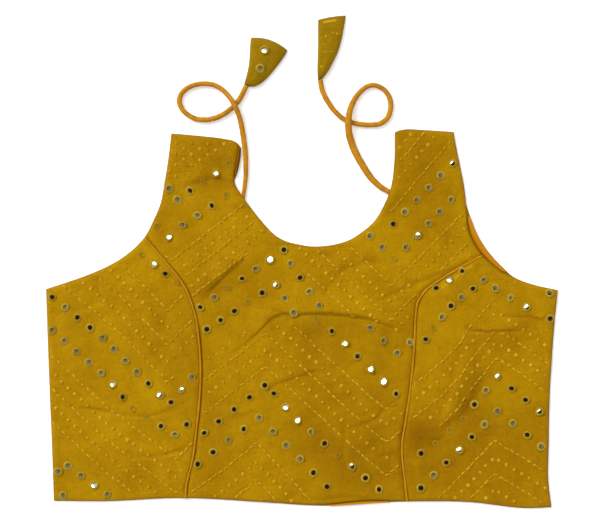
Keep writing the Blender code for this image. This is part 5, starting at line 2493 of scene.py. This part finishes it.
RUN, DOT = Stitch.RUNNING, Stitch.DOT
FIELDS = (
    Field(
        ((-136.2, 136.9), (-122.8, 115.8), (-67.1, 152.3)),
        ((20.0, DOT), (30.5, DOT), (41.0, DOT), (51.5, DOT)),
        ((-128.5, 171.5), (-59.4, 171.5), (-59.4, 161.9), (-120.9, 121.5), (-130.5, 133.1)),
    ),
    Field(
        ((-140.1, 65.9), (-124.7, 56.3), (-66.1, 102.3), (-38.3, 123.5)),
        ((0.0, RUN), (-14.9, DOT), (-25.0, RUN), (-39.4, DOT), (-49.9, RUN), (-63.4, DOT), (-76.8, RUN)),
        (
            (-124.7, 69.7), (-67.1, 108.1), (-56.5, 110.0), (-25.8, 77.4), (-44.1, 75.5),
            (-56.5, 56.3), (-76.7, 37.1), (-99.7, 15.9), (-107.4, 27.5), (-136.2, 67.8),
        ),
    ),
    Field(
        ((-1.8, 113.9), (85.5, 32.3), (161.4, 108.1)),
        ((0.0, RUN), (-16.3, DOT), (-32.6, RUN), (-47.0, DOT), (-63.4, RUN)),
        (
            (-9.5, 68.7), (31.8, 63.9), (61.5, 75.5), (86.5, 44.7), (101.9, 54.3), (153.7, 108.1),
            (163.3, 79.3), (171.0, 63.9), (132.6, 46.7), (110.5, 25.5), (104.7, -10.9), (92.3, -14.8),
            (65.4, 0.6), (27.0, 4.4), (0.1, 52.4),
        ),
    ),
    Field(
        ((-101.7, -96.4), (-34.5, -45.5), (65.4, -137.7), (80.7, -150.1), (101.9, -133.8)),
        ((0.0, RUN), (15.8, DOT), (31.7, RUN), (48.0, DOT), (63.4, RUN)),
        (
            (-95.9, -95.4), (-95.9, -28.2), (-59.4, -7.1), (-46.0, -14.8), (-32.5, -3.3), (9.7, -0.4),
            (27.0, -23.4), (86.5, -80.1), (99.9, -85.8), (98.0, -145.3), (82.7, -154.9), (71.1, -149.2),
            (-1.8, -85.8), (-26.8, -58.9), (-38.3, -51.3),
        ),
    ),
    Field(
        ((-103.6, -164.5), (-70.9, -141.5), (-43.1, -118.5), (7.8, -173.2)),
        ((0.0, RUN), (-19.2, DOT), (-35.5, RUN)),
        ((-107.4, -174.1), (-103.6, -156.9), (-43.1, -112.7), (9.7, -174.1)),
    ),
    Field(
        ((-241.8, -33.0), (-187.1, -83.9), (-128.5, -128.1), (-120.9, -134.8), (-97.8, -110.8)),
        ((0.0, RUN), (-16.3, DOT), (-31.7, RUN), (-47.0, DOT), (-63.4, RUN)),
        (
            (-241.8, -25.3), (-184.2, -74.3), (-166.9, -93.5), (-120.9, -123.3), (-101.7, -114.6),
            (-103.6, -145.3), (-109.3, -168.4), (-145.8, -174.1), (-186.1, -154.9), (-228.4, -126.1),
            (-241.8, -130.9),
        ),
    ),
    Field(
        ((-241.8, 41.9), (-205.3, 13.1), (-174.6, -12.9), (-128.5, -59.9), (-97.8, -29.2)),
        ((0.0, RUN), (18.2, DOT), (35.5, RUN), (51.8, DOT), (68.2, RUN)),
        (
            (-243.7, 32.3), (-193.8, 54.3), (-155.4, 54.3), (-117.0, 25.5), (-100.7, -10.9),
            (-98.8, -25.3), (-124.7, -57.0), (-130.5, -64.7), (-145.8, -51.3), (-193.8, -3.3),
            (-226.5, 17.9),
        ),
    ),
    Field(
        (
            (103.8, -125.2), (132.6, -102.1), (149.9, -84.9), (159.5, -69.5), (171.0, -56.1),
            (186.3, -37.8), (206.5, -50.3), (240.1, -74.3),
        ),
        ((0.0, RUN), (14.9, DOT), (27.8, RUN), (44.2, DOT), (59.5, RUN)),
        (
            (105.7, -123.3), (107.6, -37.8), (120.1, -32.1), (142.2, -1.3), (174.8, 23.6), (217.1, -1.3),
            (240.1, -12.9), (240.1, -74.3), (204.6, -53.2), (187.3, -43.6), (169.1, -62.8),
            (153.7, -85.8), (132.6, -108.9), (113.4, -122.3),
        ),
    ),
    Field(
        ((123.0, -178.9), (139.3, -163.6), (184.4, -116.5), (240.1, -150.1)),
        ((0.0, RUN), (-16.3, DOT), (-31.7, RUN), (-47.0, DOT)),
        (
            (123.0, -177.0), (139.3, -156.9), (185.4, -108.9),
            (240.1, -141.5), (240.1, -178.9), (123.0, -181.8),
        ),
    ),
    Field(
        ((82.7, 100.4), (94.2, 113.9), (139.3, 166.7), (153.7, 183.0)),
        ((0.0, RUN), (22.1, DOT), (37.4, RUN), (50.9, DOT)),
        ((86.5, 102.3), (88.4, 181.1), (147.0, 181.1), (149.9, 163.8), (94.2, 106.2)),
    ),
)


@dataclass
class StitchWork:
    """The rows of running stitch and satin dots between the mirrors."""

    fields: tuple[Field, ...] = FIELDS
    stitch_length: float = 4.3
    stitch_pitch: float = 6.1
    dot_radius: float = 1.6
    dot_pitch: float = 8.0
    mirror_room: float = 5.8
    edge_room: float = 3.0
    darkest: float = 0.5
    stray: float = 0.25
    stray_turn: float = 0.07
    strand: float = 0.8
    stitch_rise: float = 1.5
    dot_rise: float = 1.7
    seed: int = 8

    def rows(self) -> list[tuple[np.ndarray, Stitch, np.ndarray]]:
        """List every row's line with its stitch and its limit.

        Returns:
            Lines, stitches and limits.
        """
        found = []
        for part in self.fields:
            for rise, kind in part.rows:
                line = np.array(part.guide) + np.array([0.0, rise])
                found.append((line, kind, np.array(part.limit)))
        return found

    def quilting(self) -> list[np.ndarray]:
        """List the stretches of the rows that pull the cloth down.

        Returns:
            Short polylines inside their limits.
        """
        stretches = []
        for line, _, limit in self.rows():
            points = spaced(line, 80)
            kept: list[np.ndarray] = []
            for point, good in zip(points, inside(points, limit)):
                if good:
                    kept.append(point)
                elif kept:
                    stretches.append(np.array(kept))
                    kept = []
            if kept:
                stretches.append(np.array(kept))
        return [stretch for stretch in stretches if len(stretch) > 2]

    def build(
        self,
        surface: BVHTree,
        relief: Relief,
        outlines: Sequence[np.ndarray],
        mirrors: np.ndarray,
        palette: Palette,
    ) -> None:
        """Sew the rows on the front.

        Args:
            surface: the front's upper face.
            relief: its folds and painted shade; stitches down in a fold aren't seen.
            outlines: the panels' outlines, which the stitches keep clear of.
            mirrors: the mirrors' places.
            palette: the finishes.
        """
        chance = np.random.default_rng(self.seed)
        sets = {RUN: Spots(), DOT: Spots()}
        for line, kind, limit in self.rows():
            length = run_of(line)[-1]
            pitch = self.stitch_pitch if kind is RUN else self.dot_pitch
            points = spaced(line, max(2, round(length / pitch)))
            heading = np.gradient(points, axis=0)
            heading /= np.hypot(*heading.T)[:, None]
            away = np.hypot(*(points[:, None] - mirrors[None]).transpose(2, 0, 1)).min(axis=1)
            good = inside(points, limit) & (away > self.mirror_room)
            for outline in outlines:
                good &= nearest(points, outline).distance > self.edge_room
            # Stitches are left out where the painted shade is deep, which stands in for cloth down in a fold
            good &= relief.shade(points) < self.darkest
            for point, way in zip(points[good], heading[good]):
                point = point + chance.normal(0.0, self.stray, 2)
                bend = chance.normal(0.0, self.stray_turn)
                way = (way[0] - bend * way[1], way[1] + bend * way[0])
                self._stitch(sets[kind], kind, point, way, chance, surface)
        stitch = RunningStitches(self.stitch_length, self.strand, self.stitch_rise)
        stitch.sew("running_stitches", sets[RUN], palette.stitch, "thread")
        dot = SatinDots(self.dot_radius, self.dot_rise)
        dot.sew("satin_dots", sets[DOT], palette.stitch, "thread")

    @staticmethod
    def _stitch(spots: Spots, kind: Stitch, point: Any, way: Any, chance: Any, surface: BVHTree) -> None:
        """Set one stitch on the cloth.

        Args:
            spots: where it is listed.
            kind: its stitch.
            point: its place.
            way: its row's direction.
            chance: the seeded generator of its unevenness.
            surface: the cloth.
        """
        grow = chance.uniform(0.84, 1.1)
        tone = chance.uniform(0.0, 1.0)
        found = seat(surface, *point)
        if found is None:
            return
        hit, normal = found
        along = Vector((*way, 0.0))
        along = (along - normal * along.dot(normal)).normalized()
        size = (grow, chance.uniform(0.9, 1.1), 1.0) if kind is RUN else (grow, grow, 1.0)
        spots.put(hit + normal * 0.05, normal, along, size, tone)


@dataclass
class TasselEmbroidery:
    """The satin bar, dots and short stitches on the right tassel."""

    bar: Place = (27.0, 284.6)
    bar_reach: float = 5.6
    bar_slope: float = 0.9
    bar_stitches: int = 11
    stitch_length: float = 4.3
    strand: float = 0.62
    stitch_rise: float = 1.05
    dot_radius: float = 1.35
    dot_rise: float = 1.2
    dots: tuple[Place, ...] = ((23.1, 270.3), (18.6, 241.6), (33.4, 272.9))
    stitches: tuple[tuple[Place, Place], ...] = (
        ((28.6, 273.4), (31.4, 273.6)),
        ((35.2, 273.0), (37.4, 272.6)),
        ((20.4, 255.0), (24.6, 255.6)),
        ((26.4, 255.8), (29.8, 255.4)),
        ((19.6, 262.6), (23.4, 263.4)),
    )

    def build(self, surface: BVHTree, palette: Palette) -> None:
        """Sew them on the tassel.

        Args:
            surface: the tassel's upper face.
            palette: the finishes.
        """
        runs, dots = Spots(), Spots()
        work = []
        for step in np.linspace(-1.0, 1.0, self.bar_stitches):
            place = (self.bar[0] + step * self.bar_reach, self.bar[1] + self.bar_slope * step)
            work.append((runs, place, (0.1, 1.0, 0.0), (0.62, 1.0, 0.8), 0.2 + 0.05 * step))
        for start, end in self.stitches:
            middle = ((start[0] + end[0]) / 2.0, (start[1] + end[1]) / 2.0)
            way = Vector((end[0] - start[0], end[1] - start[1], 0.0))
            size = (way.length / self.stitch_length, 0.8, 0.7)
            work.append((runs, middle, way.normalized(), size, 0.5))
        work += [(dots, place, (1.0, 0.2, 0.0), (0.8, 0.8, 0.8), 0.3) for place in self.dots]
        for spots, place, along, size, tone in work:
            found = seat(surface, *place)
            if found is not None:
                spots.put(*found, along, size, tone)
        stitch = RunningStitches(self.stitch_length, self.strand, self.stitch_rise)
        stitch.sew("latkan_right_stitches", runs, palette.stitch, "thread")
        dot = SatinDots(self.dot_radius, self.dot_rise)
        dot.sew("latkan_right_dots", dots, palette.stitch, "thread")


@dataclass
class Studio:
    """The camera, the soft light and the pale floor."""

    lens: float = 85.0
    dome: float = 0.6
    window_light: float = 6.5
    window_angles: tuple[float, float] = (10.0, 13.0)
    key: float = 1.9
    key_from: tuple[float, float, float] = (-0.62, 0.55, 0.56)
    key_angle: float = 22.0
    floor_reach: float = 8.0
    floor_steps: int = 9
    floor_height: float = -0.0003

    def aim(self) -> None:
        """Set the camera over the blouse, looking straight down."""
        data = bpy.data.cameras.new("camera")
        data.lens = self.lens
        data.sensor_width = 36.0
        camera = bpy.data.objects.new("camera", data)
        camera.location = Vector(CAMERA) * MM
        bpy.context.scene.collection.objects.link(camera)
        bpy.context.scene.camera = camera
        bpy.context.scene.view_settings.view_transform = "Standard"

    def light(self) -> None:
        """Light the room: a pale dome, dark straight above, and a bright window up to the left."""
        world = bpy.data.worlds.new("room")
        bpy.context.scene.world = world
        world.use_nodes = True
        world.node_tree.nodes.clear()
        graph = Graph(world.node_tree)
        where = graph.value("ShaderNodeTexCoord", "Generated")
        where = graph.value("ShaderNodeVectorMath", 0, {"operation": "NORMALIZE"}, {0: where})
        dome = (self.dome, self.dome, self.dome)
        rings = (
            (33.0, dome),
            (28.0, (0.3, 0.235, 0.13)),
            (20.5, (0.17, 0.125, 0.065)),
            (17.5, (0.045, 0.014, 0.005)),
            (0.0, (0.035, 0.01, 0.003)),
        )
        stops = [(0.0, dome)] + [(math.cos(math.radians(polar)), colour) for polar, colour in rings]
        room = graph.value("ShaderNodeValToRGB", 0, {"stops": stops}, {0: graph.split(where)[2]})
        sockets = {0: where, 1: tuple(Vector(WINDOW).normalized())}
        toward = graph.value("ShaderNodeVectorMath", 1, {"operation": "DOT_PRODUCT"}, sockets)
        inner, edge = (math.cos(math.radians(angle)) for angle in self.window_angles)
        amount = ((toward - edge) * (1.0 / (inner - edge))).held()
        bright = (self.window_light, self.window_light, 0.97 * self.window_light)
        sockets = {"Color": graph.mix(amount, room, bright), "Strength": 1.0}
        shine = graph.value("ShaderNodeBackground", 0, None, sockets)
        graph.add("ShaderNodeOutputWorld", None, {"Surface": shine})
        sun = bpy.data.lights.new("key", "SUN")
        sun.energy = self.key
        sun.angle = math.radians(self.key_angle)
        lamp = bpy.data.objects.new("key", sun)
        lamp.rotation_euler = Vector(self.key_from).to_track_quat("Z", "Y").to_euler()
        bpy.context.scene.collection.objects.link(lamp)

    def floor(self, palette: Palette) -> None:
        """Lay the pale floor just under the blouse.

        Args:
            palette: the finishes.
        """
        count = self.floor_steps
        at = np.linspace(-self.floor_reach, self.floor_reach, count)
        mesh = bpy.data.meshes.new("floor")
        points = [(x, y, self.floor_height) for y in at for x in at]
        mesh.from_pydata(points, [], grid_faces(count, count))
        mesh.materials.append(palette.floor)
        floor = bpy.data.objects.new("floor", mesh)
        bpy.context.scene.collection.objects.link(floor)


def main() -> None:
    """Build the blouse's looks piece by piece."""
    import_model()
    studio = Studio()
    studio.aim()
    studio.light()
    palette = Palette()
    tassels = Tassels()
    made = tassels.build(palette)
    NeckTies().build(made, palette)
    cut = BlouseCut()
    relief = Relief(cut)
    mirror_work = MirrorWork()
    stitch_work = StitchWork()
    mirrors = np.array([place for place, _ in mirror_work.places()])
    relief.rows = stitch_work.quilting()
    relief.dimples = mirrors
    halves = BackHalves(cut).build(palette)
    strips = Facings(cut).build(palette)
    panels = FrontPanels(cut, relief)
    panels.build(palette)
    SeamPiping(relief).build(panels, palette)
    surface = panels.surface()
    mirror_work.build(surface, palette, tassels.tops)
    outlines = list(panels.outlines.values())
    stitch_work.build(surface, relief, outlines, mirrors, palette)
    TasselEmbroidery().build(tassels.tops["latkan_right"], palette)
    studio.floor(palette)
    log.info("boxes written")


if __name__ == "__main__":
    logging.basicConfig(level=logging.INFO, format="%(message)s")
    main()
